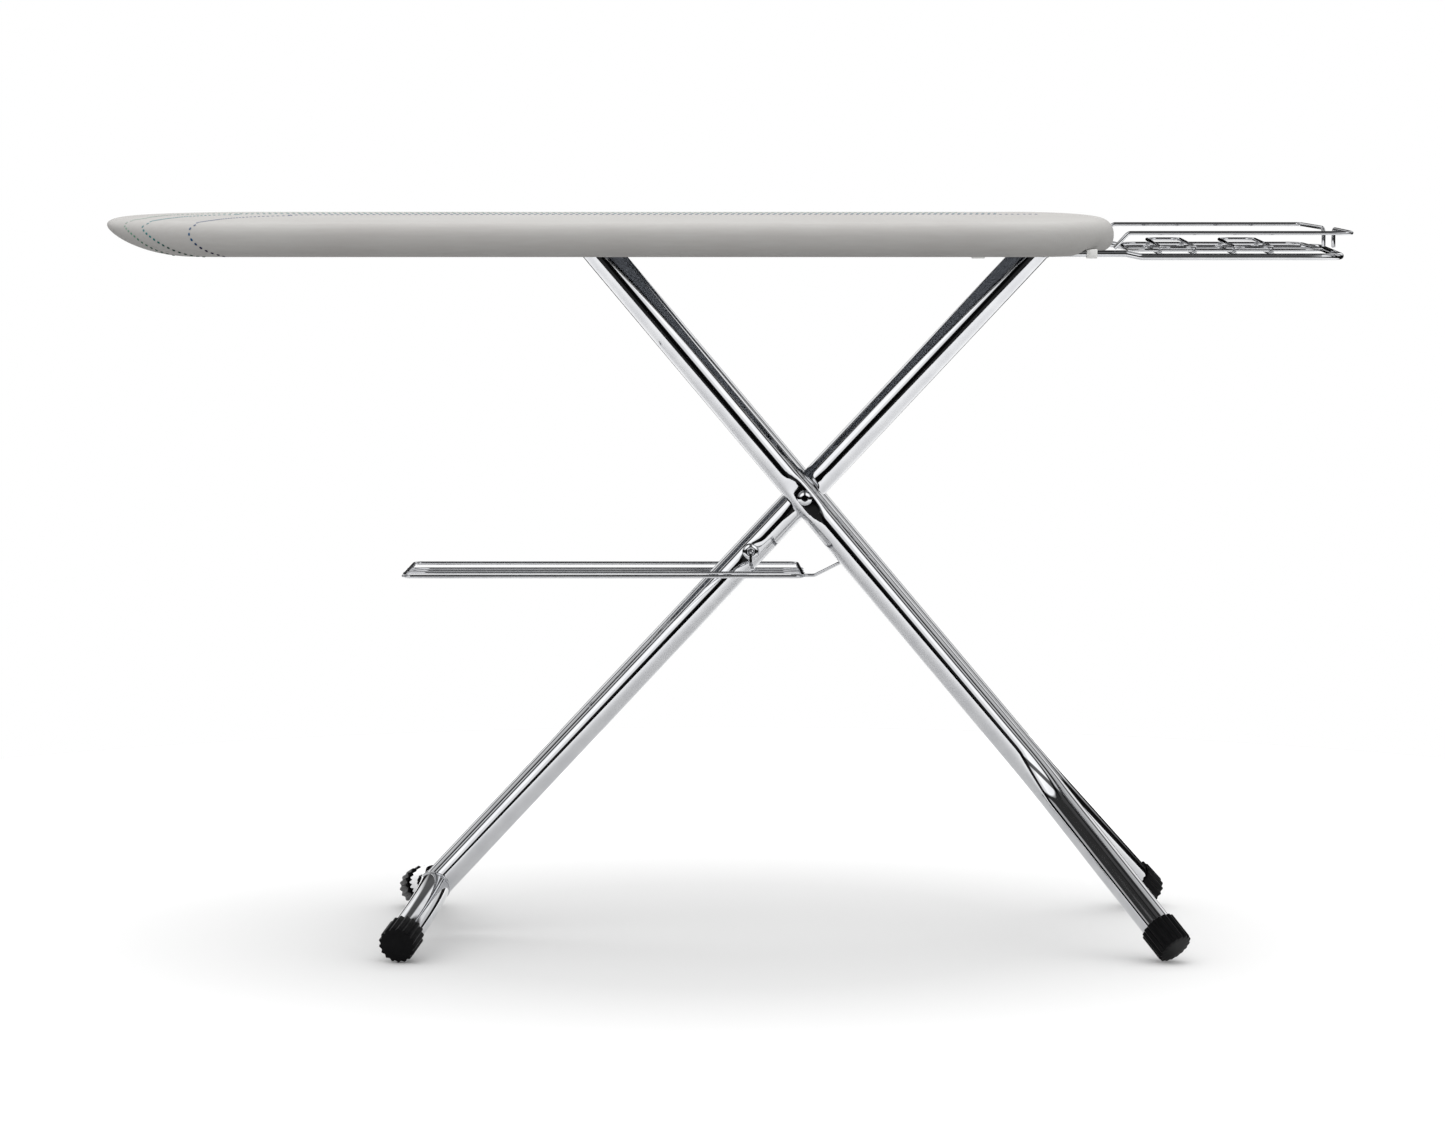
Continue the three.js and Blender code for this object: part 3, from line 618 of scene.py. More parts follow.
def over_the_legs(point):
    """Lifts the hem over the two legs of the iron rest, which slide through it."""
    start_x, half_width = 0.366, 0.017
    aside = abs(abs(point.y) - REST_LEG_Y)
    if point.x < start_x or aside > half_width or point.z > REST_LEG_TOP:
        return point
    share = min((half_width - aside) / 0.0075, 1) * min((point.x - start_x) / 0.008, 1)
    ease = share * share * (3 - 2 * share)
    return Vector((point.x, point.y, point.z + (REST_LEG_TOP - point.z) * ease))


def hem_gather(around, inset):
    """The upward ripple of the hem, drawn in by its elastic: none at the fold, most inside."""
    draw = max(0.0, (inset - EDGE_ROUND) / (HEM_WIDTH - EDGE_ROUND))
    ripple = math.sin(2 * math.pi * 94 * around + 2.1 * math.sin(2 * math.pi * 7 * around))
    slow = math.sin(2 * math.pi * 23 * around + 1.3)
    return draw ** 1.5 * (0.0022 + 0.0013 * ripple + 0.0007 * slow)


def hem_ring(inset, gather_inset, height):
    """A ring of the gathered hem, which passes over the rest's legs."""
    ring = []
    for station in OUTLINE:
        level = Z * (height + hem_gather(station[2], gather_inset))
        ring.append(over_the_legs(lifted(outline_point(station, inset) + level)))
    return ring


def cover_rings():
    """Rings of the cover, from its middle line over the rounded edge to the hem's inner edge."""
    depth = 0.0006
    half = (BOARD_TOP - BOARD_BOTTOM) / 2 - depth
    flat_shares = (0, 0.25, 0.5, 0.7, 0.85, 0.94, 0.98)
    rings = [outline_ring(depth + EDGE_ROUND, BOARD_MIDDLE + half, s) for s in flat_shares]
    edge_steps = 22
    for step in range(edge_steps + 1):
        angle = math.pi * step / edge_steps
        inset = depth + EDGE_ROUND * (1 - abs(math.sin(angle)) ** 0.92)
        rise = math.copysign(abs(math.cos(angle)) ** 0.92, math.cos(angle))
        ring = outline_ring(inset, BOARD_MIDDLE + half * rise)
        rings.append([over_the_legs(point) for point in ring])
    for step in range(1, 7):
        inset = EDGE_ROUND + 0.004 * step
        rings.append(hem_ring(inset, inset, BOARD_MIDDLE - half))
    return rings


def make_cover():
    cover = joined_rings("board_cover", cover_rings())
    surface = BVHTree.FromObject(cover, bpy.context.evaluated_depsgraph_get())
    shell = cover.modifiers.new("cloth", "SOLIDIFY")
    shell.thickness = COVER_SHEET
    shell.offset = 0
    apply_modifiers(cover)
    stands_for(cover, "cover")
    hem = make_hem_cord()
    return surface


def make_hem_cord():
    """The rolled channel along the hem's inner edge, with its elastic inside."""
    points = hem_ring(HEM_WIDTH - 0.001, HEM_WIDTH - 0.002, BOARD_BOTTOM + 0.0026)
    return goes_with(tube("hem_channel", points, 0.0021, sides=10, closed=True), "cover")


def make_felt():
    """The pad between the steel mesh and the cover, its edge rounded over."""
    felt_low, felt_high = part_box("felt_pad")
    radius = felt_high.z - BOARD_MIDDLE
    lowest = math.acos((felt_low.z - BOARD_MIDDLE) / radius)
    shares = [0, 0.5, 0.9, 0.98]
    rows = [(EDGE_ROUND, felt_high.z, share) for share in shares]
    steps = 8
    for step in range(steps + 1):
        angle = lowest * step / steps
        inset = EDGE_ROUND - (radius - 0.001) * math.sin(angle)
        rows.append((inset, BOARD_MIDDLE + radius * math.cos(angle), 1))
    rows += [(EDGE_ROUND, felt_low.z, share) for share in reversed(shares)]
    rings = [outline_ring(*row) for row in rows]
    felt = stands_for(joined_rings("felt_padding", rings), "felt_pad")


# ------------ the stitched curves

STITCH_LENGTH = 0.0042
STITCH_WIDTH = 0.0025
STITCH_PITCH = 0.0074


def edge_place(x, around):
    """A point of the near edge at a place along the board. around is 0 at the top, 180 below."""
    angle = math.radians(around)
    inset = EDGE_ROUND * (1 - math.sin(angle))
    half = BOARD_HALF_WIDTH - inset
    reach = min((NOSE_CENTRE - x) / (NOSE_ROUND - inset), 1) if x < NOSE_CENTRE else 0
    height = BOARD_MIDDLE + (BOARD_TOP - BOARD_BOTTOM) / 2 * math.cos(angle)
    return lifted(Vector((x, -half * math.sqrt(max(0, 1 - reach**2)), height)))


def smooth_path(points, spacing, surface):
    """Evenly spaced places on a smooth curve through some points, drawn on a surface."""
    fine = []
    padded = [2 * points[0] - points[1], *points, 2 * points[-1] - points[-2]]
    for a, b, c, d in zip(padded, padded[1:], padded[2:], padded[3:]):
        for step in range(60):
            t = step / 60
            bend = (2 * a - 5 * b + 4 * c - d) * t**2 + (3 * b - a - 3 * c + d) * t**3
            fine.append(0.5 * (2 * b + (c - a) * t + bend))
    fine = [surface.find_nearest(point)[0] for point in [*fine, points[-1]]]
    places = [fine[0]]
    left = spacing
    for start, end in zip(fine, fine[1:]):
        span = (end - start).length
        while span > left > 0:
            start = start.lerp(end, left / span)
            places.append(start)
            span -= left
            left = spacing
        left -= span
    return places


def make_stitches(name, surface, edge_guides, top_guides, material):
    """One dashed curve, from the near lower edge over the nose and along the far side."""
    guides = [edge_place(x, around) for x, around in edge_guides]
    guides += [Vector((x, y, BOARD_TOP)) for x, y in top_guides]
    places = smooth_path(guides, STITCH_PITCH, surface)
    lumps = []
    for before, here, after in zip(places, places[1:], places[2:]):
        found, normal, _, _ = surface.find_nearest(here)
        if normal.dot(here - Vector((here.x, 0, BOARD_BOTTOM))) < 0:
            normal = -normal
        along = (after - before).normalized()
        along = (along - normal * along.dot(normal)).normalized() * STITCH_LENGTH / 2
        across = normal.cross(along).normalized() * STITCH_WIDTH / 2
        centre = found + normal * (COVER_SHEET / 2 + 0.0002)
        lumps.append((centre, along, across, normal * 0.0006))
    blobs(name, lumps, "cover", material, rings=4)


def make_all_stitches(surface):
    """Three curves, each guided by (x, degrees round the edge) and then by (x, y) on the top."""
    # Each thread's three colours: a painted shade, its own colour, and a painted highlight.
    sage = thread_look_with_painted_light("sage_thread", rgb(30, 66, 50), rgb(70, 112, 92), rgb(132, 142, 136))
    edge = [(-0.654, 172), (-0.676, 148), (-0.697, 122), (-0.713, 92)]
    edge += [(-0.724, 60), (-0.722, 38), (-0.716, 14)]
    top = [(-0.707, -0.045), (-0.700, 0.015), (-0.675, 0.074), (-0.600, 0.118)]
    top += [(-0.480, 0.134), (0.30, 0.141)]
    make_stitches("stitches_outer", surface, edge, top, sage)

    teal = thread_look_with_painted_light("teal_thread", rgb(2, 44, 32), rgb(0, 92, 94), rgb(98, 122, 126))
    edge = [(-0.616, 172), (-0.640, 150), (-0.662, 126), (-0.683, 98)]
    edge += [(-0.699, 62), (-0.697, 40), (-0.691, 16)]
    top = [(-0.684, -0.080), (-0.674, -0.030), (-0.655, 0.025), (-0.610, 0.072)]
    top += [(-0.50, 0.104), (0.35, 0.116)]
    make_stitches("stitches_middle", surface, edge, top, teal)

    blue = thread_look_with_painted_light("blue_thread", rgb(14, 2, 38), rgb(0, 62, 96), rgb(96, 102, 118))
    edge = [(-0.593, 172), (-0.603, 150), (-0.620, 125), (-0.6345, 95)]
    edge += [(-0.640, 66), (-0.6375, 42), (-0.632, 18)]
    top = [(-0.623, -0.120), (-0.6085, -0.055), (-0.583, 0.0), (-0.540, 0.040)]
    top += [(-0.44, 0.072), (0.40, 0.088)]
    make_stitches("stitches_inner", surface, edge, top, blue)


# ------------ under the cover


def make_rim():
    """The oval tube under the plate, which cuts the corner at the nose."""
    inset, nose_inset = 0.015, 0.066
    level = Z * middle_of("rim_tube").z
    points = [outline_point(station, inset, nose_inset) + level for station in OUTLINE[::3]]
    rim = tube("rim", points, half_height("rim_tube"), sides=20, closed=True)
    stands_for(rim, "rim_tube")


def make_mesh_plate():
    """The expanded-steel sheet that lets steam through, in a plain border strip."""
    low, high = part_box("top_plate")
    half_long, half_short = 0.0135, 0.0055
    border_inset = 0.020
    half_inside = BOARD_HALF_WIDTH - border_inset
    lattice = bmesh.new()
    seen = {}

    def corner(x, y):
        key = (round(x * 1e5), round(y * 1e5))
        if key not in seen:
            seen[key] = lattice.verts.new((x, y, (low.z + high.z) / 2))
        return seen[key]

    columns = int((BOARD_HEEL - BOARD_NOSE) / half_long)
    rows = int(BOARD_HALF_WIDTH / half_short)
    for i in range(columns):
        for j in range(-rows, rows + 1):
            if (i + j) % 2:
                continue
            x, y = BOARD_NOSE + i * half_long, j * half_short
            reach = half_long + border_inset
            past_nose = (NOSE_CENTRE - x + reach) / NOSE_ROUND
            past_heel = (x - HEEL_CENTRE + reach) / HEEL_ROUND
            rounded = max(past_nose, past_heel, 0) ** 2 + (y / half_inside) ** 2 < 1
            if abs(y) + half_short < half_inside and rounded:
                left, right = corner(x - half_long, y), corner(x + half_long, y)
                near, far = corner(x, y - half_short), corner(x, y + half_short)
                lattice.faces.new([left, near, right, far])
    mesh = bpy.data.meshes.new("steam_mesh")
    lattice.to_mesh(mesh)
    lattice.free()
    steam = linked("steam_mesh", mesh)
    strands = steam.modifiers.new("strands", "WIREFRAME")
    strands.thickness = (high.z - low.z) * 0.9
    strands.use_even_offset = False
    apply_modifiers(steam)
    plate_look = mesh_look()
    goes_with(steam, "top_plate", plate_look)
    stands_for(mesh_border(low.z, high.z), "top_plate", plate_look)


def mesh_border(bottom, top):
    verts, faces = [], []
    for height in (bottom, top):
        for inset in (0.006, 0.034):
            verts += [outline_point(station, inset) + Z * height for station in OUTLINE]
    count = len(OUTLINE)
    for first, second in ((0, 1), (2, 3), (0, 2), (1, 3)):
        faces += band(first * count, second * count, count)
    return new_piece("steam_mesh_border", verts, faces, 40)


# ------------ legs


def leg_point(down, along, across, out=0.0):
    """A point in a leg's own frame: along the leg, across the board, and out from its plane."""
    return PIVOT + down * along + Y * across + down.cross(Y) * out


def foot_reach(down, drop):
    """How far down a leg its cap's closed end is, when the cap rests on the floor."""
    lean = math.sqrt(1 - drop**2)
    shoulder = CAP_CREST * lean - 0.0015 * drop
    rim = (CAP_CREST - 0.001) * lean
    return (PIVOT.z - max(shoulder, rim)) / -down.z


def in_cap(closed_end, direction):
    """Where a tube ends inside its cap."""
    return closed_end - direction * (CAP_LENGTH - CAP_BORE_DEPTH + 0.0003)


def falloff(distance, reach, flatness=2):
    """1 in the middle, falling smoothly to 0 at a reach."""
    share = min(abs(distance) / reach, 1)
    return (1 - share**flatness) ** 2


def flattened(offset, sideways, limit):
    """Presses one side of a tube flat where it stands further out than a limit."""
    easing = 0.001
    reach = offset.dot(sideways)
    over = reach - (limit - easing)
    if over <= 0:
        return offset
    kept = limit - easing * math.exp(-over / easing)
    return offset + sideways * (kept - reach)


SLEEVE_COPE = 0.0113
SEAT_DEPTH = 0.0014
PRESS_DEPTH = 0.0032
PRESS_REACH = 0.034
PRESS_TILT = math.radians(7)


def pressing(outward):
    """The direction a tube is pressed flat in: outwards, and a little downwards."""
    return outward * math.cos(PRESS_TILT) - Z * math.sin(PRESS_TILT)


def make_outer_legs():
    above = (PIVOT - TOP_BAR).length
    for side_name, side in SIDES.items():
        outward = Y * side
        direction = OUTER_DOWN * math.cos(OUTER_SPLAY) + outward * math.sin(OUTER_SPLAY)
        end_along = foot_reach(OUTER_DOWN, -direction.z)
        spread = (OUTER_FOOT_Y - OUTER_Y) / math.tan(OUTER_SPLAY)
        closed_end = leg_point(OUTER_DOWN, end_along, side * OUTER_FOOT_Y)
        corners = [
            leg_point(OUTER_DOWN, -above - 0.008, side * OUTER_Y),
            leg_point(OUTER_DOWN, end_along - spread, side * OUTER_Y),
            in_cap(closed_end, direction),
        ]
        route = divided(bent(corners, 0.140, 3), 0.006)

        def press(centre, offset, outward=outward):
            deep = PRESS_DEPTH * falloff((centre - PIVOT).dot(OUTER_DOWN), PRESS_REACH, 4)
            if deep > 0:
                offset = flattened(offset, pressing(outward), LEG_RADIUS - deep)
            return offset

        name = f"outer_leg_{side_name}"
        leg = tube(name, route, LEG_RADIUS, LEG_BORE, sides=48, reshape=press)
        stands_for(leg, f"outer_leg_tube_{side_name}")
        make_cap("outer", side_name, closed_end, direction)
        make_glide(side_name, side)
    half_bar = Y * 0.0735
    bar = tube("top_bar", [TOP_BAR - half_bar, TOP_BAR + half_bar], 0.006, sides=28)
    stands_for(bar, "outer_leg_top_bar")
    make_bolt()


def bushing(bore, radius, length, edge=0.0008):
    """The profile of a short sleeve with both outer edges broken."""
    outside = [(radius - edge, 0), (radius, edge), (radius, length - edge), (radius - edge, length)]
    return [(bore, 0), *outside, (bore, length)]


def make_glide(side_name, side):
    node = f"top_bar_glide_{side_name}"
    low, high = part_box(node)
    profile = bushing(0.0047, half_height(node), high.y - low.y)
    start = Vector((TOP_BAR.x, low.y, TOP_BAR.z))
    stands_for(turned(f"glide_{side_name}", profile, start, Y), node)
    ends = [TOP_BAR + Y * side * 0.0725, TOP_BAR + Y * side * 0.0885]
    spigot = tube(f"top_bar_spigot_{side_name}", ends, 0.0043, sides=20)
    goes_with(spigot, "outer_leg_top_bar")


def make_bolt():
    """A domed screw with a hexagon socket on the near side and a domed nut on the far side."""
    seat = OUTER_Y + LEG_RADIUS - PRESS_DEPTH
    head_height = 0.0056
    dome = [(0.0, head_height)]
    for step in range(1, 8):
        angle = math.pi / 2 * step / 7
        dome.append((0.0092 * math.sin(angle), 0.001 + (head_height - 0.001) * math.cos(angle)))
    profile = [*dome, (0.0092, 0.0), (0.004, 0.0), (0.004, -seat - 0.045), (0.0, -seat - 0.045)]
    head = turned("cross_bolt", profile, PIVOT - Y * seat, -Y)
    socket_ends = [PIVOT - Y * (seat + 0.0010), PIVOT - Y * (seat + 0.012)]
    carve(head, tube("socket", socket_ends, 0.0046, sides=6))
    stands_for(head, "crossing_bolt")

    nut_profile = [(0.0, 0.0095), (0.003, 0.0092), (0.0058, 0.0078), (0.0074, 0.0052)]
    nut_profile += [(0.0078, 0.003), (0.0092, 0.0024), (0.0092, 0.0), (0.0, 0.0)]
    nut = turned("cross_nut", nut_profile, PIVOT + Y * seat, Y)
    stands_for(nut, "crossing_nut")


def chord(radius, out):
    """How far a round tube reaches at some distance from its middle plane."""
    return math.sqrt(max(radius**2 - out**2, 0))


def make_cross_foot():
    """The arched foot tube with its two caps. Gives how far down the leg its middle is."""
    in_plane = math.sin(ARCH_SLOPE)
    end_along = foot_reach(INNER_DOWN, in_plane * -INNER_DOWN.z)
    straight = 0.030
    arc_radius = (INNER_FOOT_Y - straight * math.cos(ARCH_SLOPE)) / in_plane
    middle_along = end_along - straight * in_plane - arc_radius * (1 - math.cos(ARCH_SLOPE))
    arch = []
    steps = 36
    for i in range(-steps, steps + 1):
        angle = ARCH_SLOPE * i / steps
        along = middle_along + arc_radius * (1 - math.cos(angle))
        arch.append(leg_point(INNER_DOWN, along, arc_radius * math.sin(angle)))
    ends = []
    for side_name, side in SIDES.items():
        direction = INNER_DOWN * in_plane + Y * side * math.cos(ARCH_SLOPE)
        closed_end = leg_point(INNER_DOWN, end_along, side * INNER_FOOT_Y)
        ends.append(in_cap(closed_end, direction))
        make_cap("inner", side_name, closed_end, direction)
    route = [ends[0], *arch, ends[1]]
    stands_for(tube("cross_foot", route, LEG_RADIUS, LEG_BORE, sides=48), "cross_foot_tube")
    return middle_along


def make_inner_leg():
    """The single tube, coped to fit round its foot and its hinge, and pressed at its pins."""
    middle_along = make_cross_foot()
    above = (PIVOT - HINGE).length
    start_along = 0.004 - above
    hanger = JOINT_AT["rack_swing"]
    hanger_along = (hanger - PIVOT).dot(INNER_DOWN)
    cope = 0.060

    def shape(centre, offset):
        along = (centre - PIVOT).dot(INNER_DOWN)
        out = offset.dot(INNER_DOWN.cross(Y))
        side = Y if offset.dot(Y) > 0 else -Y
        deep = 0.0016 * falloff(along, PRESS_REACH)
        deep += 0.0024 * falloff(along - hanger_along, 0.017)
        if deep > 0:
            offset = flattened(offset, pressing(side), LEG_RADIUS - deep)
        saddle = chord(LEG_RADIUS, out) - 0.0006
        saddle_share = max(0.0, 1 - (middle_along - along) / cope)
        top = max(chord(SLEEVE_COPE, out) - 0.004, 0)
        top_share = max(0.0, 1 - (along - start_along) / cope)
        return offset + INNER_DOWN * (top * top_share - saddle * saddle_share)

    ends = [leg_point(INNER_DOWN, along, 0) for along in (start_along, middle_along)]
    route = divided(ends, 0.005)
    leg = tube("inner_leg", route, LEG_RADIUS, LEG_BORE, sides=56, reshape=shape)
    stands_for(leg, "inner_leg_tube")
    bead = []
    for across, out in circle(72, LEG_RADIUS):
        along = middle_along - chord(LEG_RADIUS, out) * 1.01
        bead.append(leg_point(INNER_DOWN, along, across * 1.01, out * 1.01))
    goes_with(tube("foot_weld", bead, 0.0013, sides=10, closed=True), "inner_leg_tube")
    make_hinge(above)
    make_bushes()
    make_eyelets(hanger)


def make_hinge(above):
    ends = [Vector((HINGE.x, corner.y, HINGE.z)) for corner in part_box("hinge_tube")]
    sleeve = tube("hinge_sleeve", ends, half_height("hinge_tube"), 0.005, sides=36)
    stands_for(sleeve, "hinge_tube")
    bead = []
    for across, out in circle(60, LEG_RADIUS):
        reach = max(chord(SLEEVE_COPE, out), 0.004)
        bead.append(leg_point(INNER_DOWN, reach - above, across, out * 0.98))
    goes_with(tube("hinge_weld", bead, 0.0012, sides=10, closed=True), "inner_leg_tube")


def make_bushes():
    for side_name, side in SIDES.items():
        start = LEG_RADIUS - SEAT_DEPTH
        profile = bushing(0.0045, 0.011, OUTER_Y - LEG_RADIUS - start - 0.0002)
        bush = turned(f"bush_{side_name}", profile, PIVOT + Y * side * start, Y * side)
        stands_for(bush, f"pivot_bush_{side_name}")


def make_eyelets(hanger):
    """Domed washers pressed into the leg, one on each side, for the rack's hanger."""
    for side_name, side in SIDES.items():
        profile = [(0.0026, -0.0008), (0.0104, -0.0012), (0.0104, -0.0003), (0.0092, 0.0008)]
        profile += [(0.0074, 0.0018), (0.0058, 0.0022), (0.0044, 0.0021), (0.0034, 0.0014)]
        profile += [(0.0027, 0.0004)]
        start = Vector((hanger.x, side * (LEG_RADIUS - SEAT_DEPTH), hanger.z))
        eyelet = turned(f"eyelet_{side_name}", profile, start, Y * side, 56)
        stands_for(eyelet, f"rack_eyelet_{side_name}")


# ------------ foot caps


def make_cap(leg, side_name, closed_end, tube_direction):
    """A ribbed rubber cap with a ring of small pockets round its mouth."""
    opening = -tube_direction
    down = -Z - opening * (-Z).dot(opening)
    crest = down.normalized()
    across = opening.cross(crest)
    turn = Matrix((crest, across, opening)).transposed()
    count = CAP_RIBS * 10
    profile = [(0.0, 0.0), (0.55, 0.0), (0.90, 0.0), (0.955, 0.0003), (0.985, 0.0011)]
    profile += [(1.0, 0.0024), (1.0, 0.012), (1.0, 0.024), (1.0, CAP_LENGTH - 0.0016)]
    profile += [(0.990, CAP_LENGTH - 0.0006), (0.965, CAP_LENGTH)]
    plain = CAP_CREST - 0.0014
    rings = []
    for scale, height in profile:
        share = min(max((scale - 0.9) / 0.085, 0), 1)
        ring = []
        for i, (x, y) in enumerate(circle(count)):
            wave = 0.5 + 0.5 * math.cos(CAP_RIBS * 2 * math.pi * i / count)
            ribbed = CAP_ROOT + (CAP_CREST - CAP_ROOT) * wave
            radius = scale * (plain + (ribbed - plain) * share)
            ring.append((radius * x, radius * y, height))
        rings.append(ring)
    mouth = LEG_RADIUS + 0.0003
    bottom = CAP_LENGTH - CAP_BORE_DEPTH
    bore = [(mouth + 0.0004, CAP_LENGTH), (mouth, CAP_LENGTH - 0.0006), (mouth, bottom), (0, bottom)]
    for radius, height in bore:
        rings.append([(x, y, height) for x, y in circle(count, radius)])
    cap = joined_rings(f"{leg}_cap_{side_name}", rings, 55, 1e-7)
    cap.data.transform(Matrix.Translation(closed_end) @ turn.to_4x4())
    stands_for(cap, f"{leg}_foot_cap_{side_name}")


# ------------ the laundry rack


def wire_piece(name, corners, radius, bend_radius, node, sides=16, taper=None):
    path = divided(bent(corners, bend_radius), 0.03)
    return stands_for(tube(name, path, radius, sides=sides, taper=taper), node)


def loop_piece(name, corners, radius, bend_radius, node, sides=16):
    path = divided(bent_loop(corners, bend_radius), 0.03)
    return stands_for(tube(name, path, radius, sides=sides, closed=True), node)


def welds_at(name, places, radius, node):
    """A flattened bead where wires cross."""
    axes = (X * radius * 1.25, Y * radius * 1.25, Z * radius * 0.8)
    blobs(name, [(place, *axes) for place in places], node)


def vectors(*places):
    return [Vector(place) for place in places]


def level_corners(node, radius, lean=0.0):
    """The corners of a level wire loop in its node's box, with the far right one drawn in."""
    low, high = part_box(node)
    left, right = low.x + radius, high.x - radius
    near, far = low.y + radius, high.y - radius
    level = (low.z + high.z) / 2
    return vectors(
        (left, near, level), (right, near, level), (right - lean, far, level), (left, far, level)
    )


def make_rack():
    low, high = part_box("rack_frame")
    radius = half_height("rack_frame")
    left, right = low.x + radius, high.x - radius
    half = high.y - radius
    height = middle_of("rack_frame").z
    lean = 0.006
    corners = vectors(
        (right, -half, height),
        (right - lean, half, height),
        (left + lean, half, height),
        (left, -half, height),
    )
    loop_piece("rack_loop", corners, radius, 0.009, "rack_frame")

    thin = 0.0017
    beads = []
    for node in ("rack_wire_near", "rack_wire_middle", "rack_wire_far"):
        _, y, z = middle_of(node)
        ends = vectors((left + 0.0006, y, z), (right - 0.0006, y, z))
        wire_piece(f"{node}_round", ends, thin, 0.001, node)
        beads += ends
    welds_at("rack_welds", beads, 0.0021, "rack_frame")

    swing = JOINT_AT["rack_swing"]
    hanger_y = 0.0237
    hanger_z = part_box("rack_wire_near")[1].z + 0.0019
    hanger = vectors(
        (swing.x + 0.002, middle_of("rack_wire_near").y, hanger_z),
        (swing.x, -hanger_y, swing.z - 0.014),
        (swing.x, -hanger_y, swing.z),
        (swing.x, hanger_y, swing.z),
        (swing.x, hanger_y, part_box("rack_wire_middle")[1].z + 0.0019),
    )

    def strap(share):
        return 1.0 + 0.35 * max(0, 1 - share / 0.12)

    wire_piece("hanger_wire", hanger, 0.0018, 0.002, "rack_hanger", taper=strap)

    y = middle_of("rack_hook").y
    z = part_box("rack_hook")[0].z + 0.002
    hook = vectors(
        (high.x - 0.0162, y, z),
        (high.x + 0.0118, y, z),
        (high.x + 0.0458, y, z + 0.017),
        (high.x + 0.0598, y, z + 0.015),
    )
    wire_piece("hook_wire", hook, 0.002, 0.009, "rack_hook")


# ------------ the iron rest


def make_iron_rest():
    base_low, base_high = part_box("rest_base_loop")
    radius = REST_RADIUS
    base_z = base_low.z + radius
    end_x = base_high.x - radius
    bend_x = 0.482
    corners = vectors(
        (base_low.x, -REST_LEG_Y, REST_LEG_Z),
        (bend_x, -REST_LEG_Y, REST_LEG_Z),
        (bend_x + 0.018, -REST_LEG_Y, base_z),
        (end_x, -REST_LEG_Y, base_z),
    )
    corners += [Vector((x, -y, z)) for x, y, z in reversed(corners)]
    wire_piece("rest_base", corners, radius, 0.026, "rest_base_loop", sides=24)

    thin = 0.002
    inner = level_corners("rest_inner_loop", thin, 0.010)
    beads = []
    for number in range(1, 5):
        node = f"rest_cross_wire_{number}"
        x, _, z = middle_of(node)
        half = REST_LEG_Y - radius - 0.0005
        ends = vectors((x, -half, z), (x, half, z))
        wire_piece(f"{node}_round", ends, thin, 0.001, node)
        beads += [*ends, *(Vector((x, corner.y, corner.z - thin)) for corner in inner[1:3])]

    loop_piece("rest_inner", inner, thin, 0.022, "rest_inner_loop")
    for number in (1, 2):
        node = f"rest_support_wire_{number}"
        loop_piece(f"{node}_round", level_corners(node, thin), thin, 0.012, node)
    welds_at("rest_welds", beads, 0.0026, "rest_base_loop")

    rail_radius = 0.0024
    for side_name, side in SIDES.items():
        node = f"rest_guard_rail_{side_name}"
        low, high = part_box(node)
        corner_x = high.x - rail_radius if side < 0 else 0.719
        drop_x = 0.744 if side < 0 else 0.735
        start_z = REST_LEG_Z + radius + rail_radius + 0.0003
        rail_z = high.z - rail_radius
        rail = vectors(
            (0.468, side * REST_LEG_Y, start_z),
            (0.484, side * REST_LEG_Y, rail_z),
            (corner_x, side * REST_LEG_Y, rail_z),
            (drop_x, side * 0.014, rail_z),
            (drop_x, side * 0.014, low.z),
        )
        wire_piece(f"guard_rail_{side_name}", rail, rail_radius, 0.008, node, sides=18)


# ------------ lever and small fittings


def make_fittings():
    sheets = [f"{part}_{side}" for part in ("slide_rail", "hinge_bracket") for side in SIDES]
    sheets += ["lever_bracket_inner", "lever_bracket_outer", "latch_comb", "lever_handle"]
    for node in sheets:
        softened(node, 0.0003)
    mouldings = [f"rest_guide_{part}_{side}" for part in ("heel", "inner") for side in SIDES]
    for node in [*mouldings, "lever_grip"]:
        softened(node, 0.0009)
    make_lever_shaft()
    make_hinge_pin()


def make_lever_shaft():
    """The lever's shaft, with the spring wound round it."""
    axis = middle_of("lever_shaft")
    radius = half_height("lever_shaft")
    ends = [Vector((axis.x, corner.y, axis.z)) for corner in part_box("lever_shaft")]
    stands_for(tube("lever_axle", ends, radius, sides=28), "lever_shaft")

    turns, per_turn = 5, 20
    steps = turns * per_turn
    coil = circle(per_turn, radius + 0.002)
    spring = []
    for i in range(steps + 1):
        x, z = coil[i % per_turn]
        spring.append(Vector((axis.x + x, 0.0745 + 0.013 * i / steps, axis.z + z)))
    stands_for(tube("torsion_spring", spring, 0.0008, sides=8), "lever_spring")


def make_hinge_pin():
    """A rivet with a head at each end."""
    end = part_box("hinge_pin")[1].y
    head = [(0.0, end), (0.0055, end), (0.007, end - 0.0012), (0.007, end - 0.003)]
    head += [(0.004, end - 0.003)]
    profile = [(radius, -height) for radius, height in head] + head[::-1]
    pin = turned("hinge_rivet", profile, Vector((HINGE.x, 0, HINGE.z)), Y)
    stands_for(pin, "hinge_pin")


# ------------ studio

FLOOR_RADIUS = 1.9
SKY_LIGHT = 1.85


def make_floor():
    """A round sheet of white paper, painted darker towards its middle as a painted shadow under the
    board. Past its edge the room is dark, which draws the chrome.
    """
    steps = 96
    level = -0.0004
    verts = [(0, 0, level), *((x, y, level) for x, y in circle(steps, FLOOR_RADIUS))]
    floor = new_piece("floor", verts, [(0, 1 + k, 1 + (k + 1) % steps) for k in range(steps)])
    paper = Look("paper")
    reach = paper.add("VectorMath", "Value", {0: paper.place}, operation="LENGTH")
    share = paper.math("DIVIDE", reach, FLOOR_RADIUS)
    # Painted shadow: the paper is darker in the middle, under the board, and brighter towards its
    # edge.
    color = paper.ramp(share, [(0.2, (0.46,) * 3), (0.75, (0.66,) * 3)])
    material = paper.surface(Base_Color=color, Roughness=0.9, Specular_IOR_Level=0.1)
    floor.data.materials.append(material)


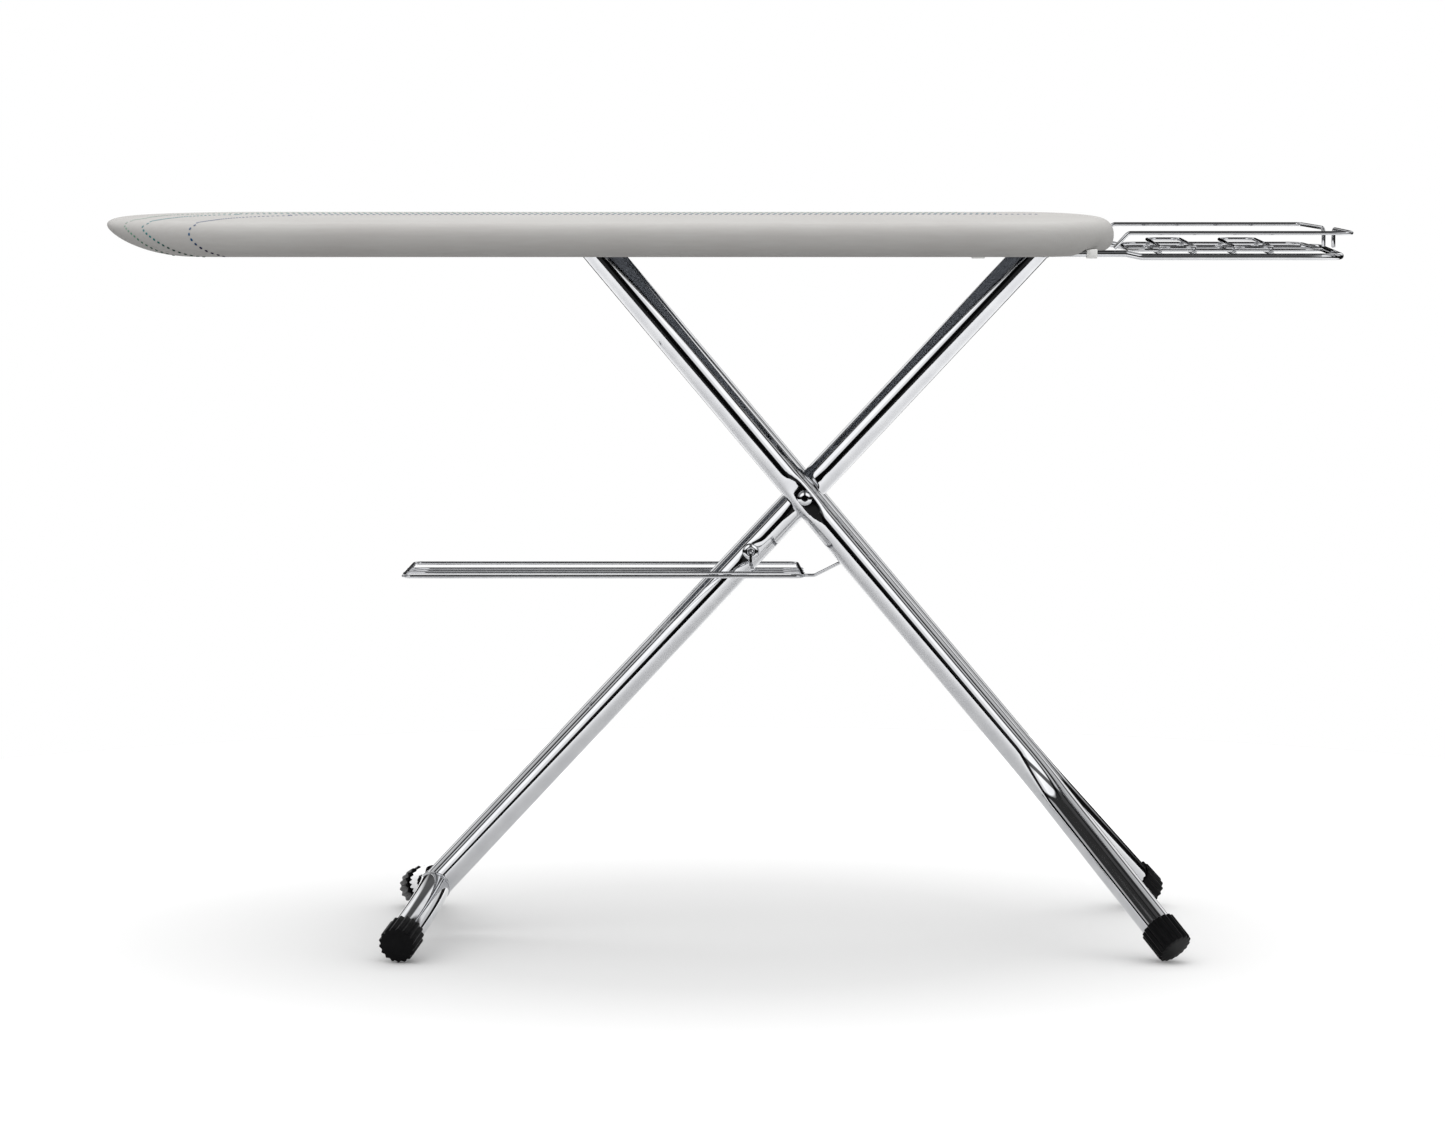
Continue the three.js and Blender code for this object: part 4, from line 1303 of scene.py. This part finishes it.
def make_overhead_light():
    """One large softbox, which reflections don't show."""
    light = linked("overhead", bpy.data.lights.new("overhead", "AREA"))
    light.data.shape = "RECTANGLE"
    light.data.size, light.data.size_y = 3.2, 2.6
    light.data.energy = 45
    light.location = (0, 0.2, 3.0)
    light.visible_glossy = False
    aim = Vector((0, 0.1, 0)) - light.location
    light.rotation_euler = aim.to_track_quat("-Z", "Y").to_euler()


class Sky(NodeTree):
    """The world's nodes."""

    def mix(self, factor, a, b, blend="MIX"):
        inputs = {"Factor": factor, "A": a, "B": b}
        return self.add("Mix", "Result", inputs, data_type="RGBA", blend_type=blend)

    def greys(self, axis, stops):
        """A direction's X, Y or Z from -1 to 1 as a grey, by stops of (value, grey)."""
        direction = self.add("TexCoord", "Generated")
        value = self.add("SeparateXYZ", axis, {"Vector": direction})
        share = self.math("ADD", self.math("MULTIPLY", value, 0.5), 0.5)
        return self.ramp(share, [((at + 1) / 2, (grey,) * 3) for at, grey in stops])


def make_sky():
    """White for the camera, lit from above for matt things, and lamps and gaps for chrome."""
    world = bpy.data.worlds.new("studio")
    bpy.context.scene.world = world
    sky = Sky(world)
    above_and_below = sky.greys("Z", [(-0.1, 0.2), (0.2, SKY_LIGHT)])
    horizon = [(-0.5, 0.02), (0.11, 0.01), (0.14, 0.66), (0.26, 0.7), (0.34, 1.0), (1.0, 0.85)]
    lamps = [(-1.0, 1.7), (-0.56, 1.6), (-0.50, 0.04), (-0.38, 0.04), (-0.35, 0.8)]
    lamps += [(-0.22, 0.9), (-0.18, 0.03), (0.02, 0.05), (0.06, 0.7), (0.45, 0.85)]
    lamps += [(0.50, 0.08), (0.62, 0.08), (0.66, 1.1), (1.0, 1.4)]
    aisle = [(-0.2, 1.0), (-0.13, 0.1), (0.13, 0.1), (0.2, 1.0)]
    room = sky.mix(1.0, sky.greys("Z", horizon), sky.greys("Y", lamps), "MULTIPLY")
    room = sky.mix(1.0, room, sky.greys("X", aisle), "MULTIPLY")
    unseen = sky.mix(sky.add("LightPath", "Is Glossy Ray"), above_and_below, room)
    seen = sky.mix(sky.add("LightPath", "Is Camera Ray"), unseen, (1.0, 1.0, 1.0, 1))
    background = sky.nodes["Background"]
    sky.plug(background.inputs["Color"], seen)
    background.inputs["Strength"].default_value = 1.0


# ------------ assembly

make_felt()
make_all_stitches(make_cover())
make_rim()
make_mesh_plate()
make_outer_legs()
make_inner_leg()
make_rack()
make_iron_rest()
make_fittings()
make_floor()
make_overhead_light()
make_sky()
bpy.context.scene.view_settings.view_transform = "Standard"
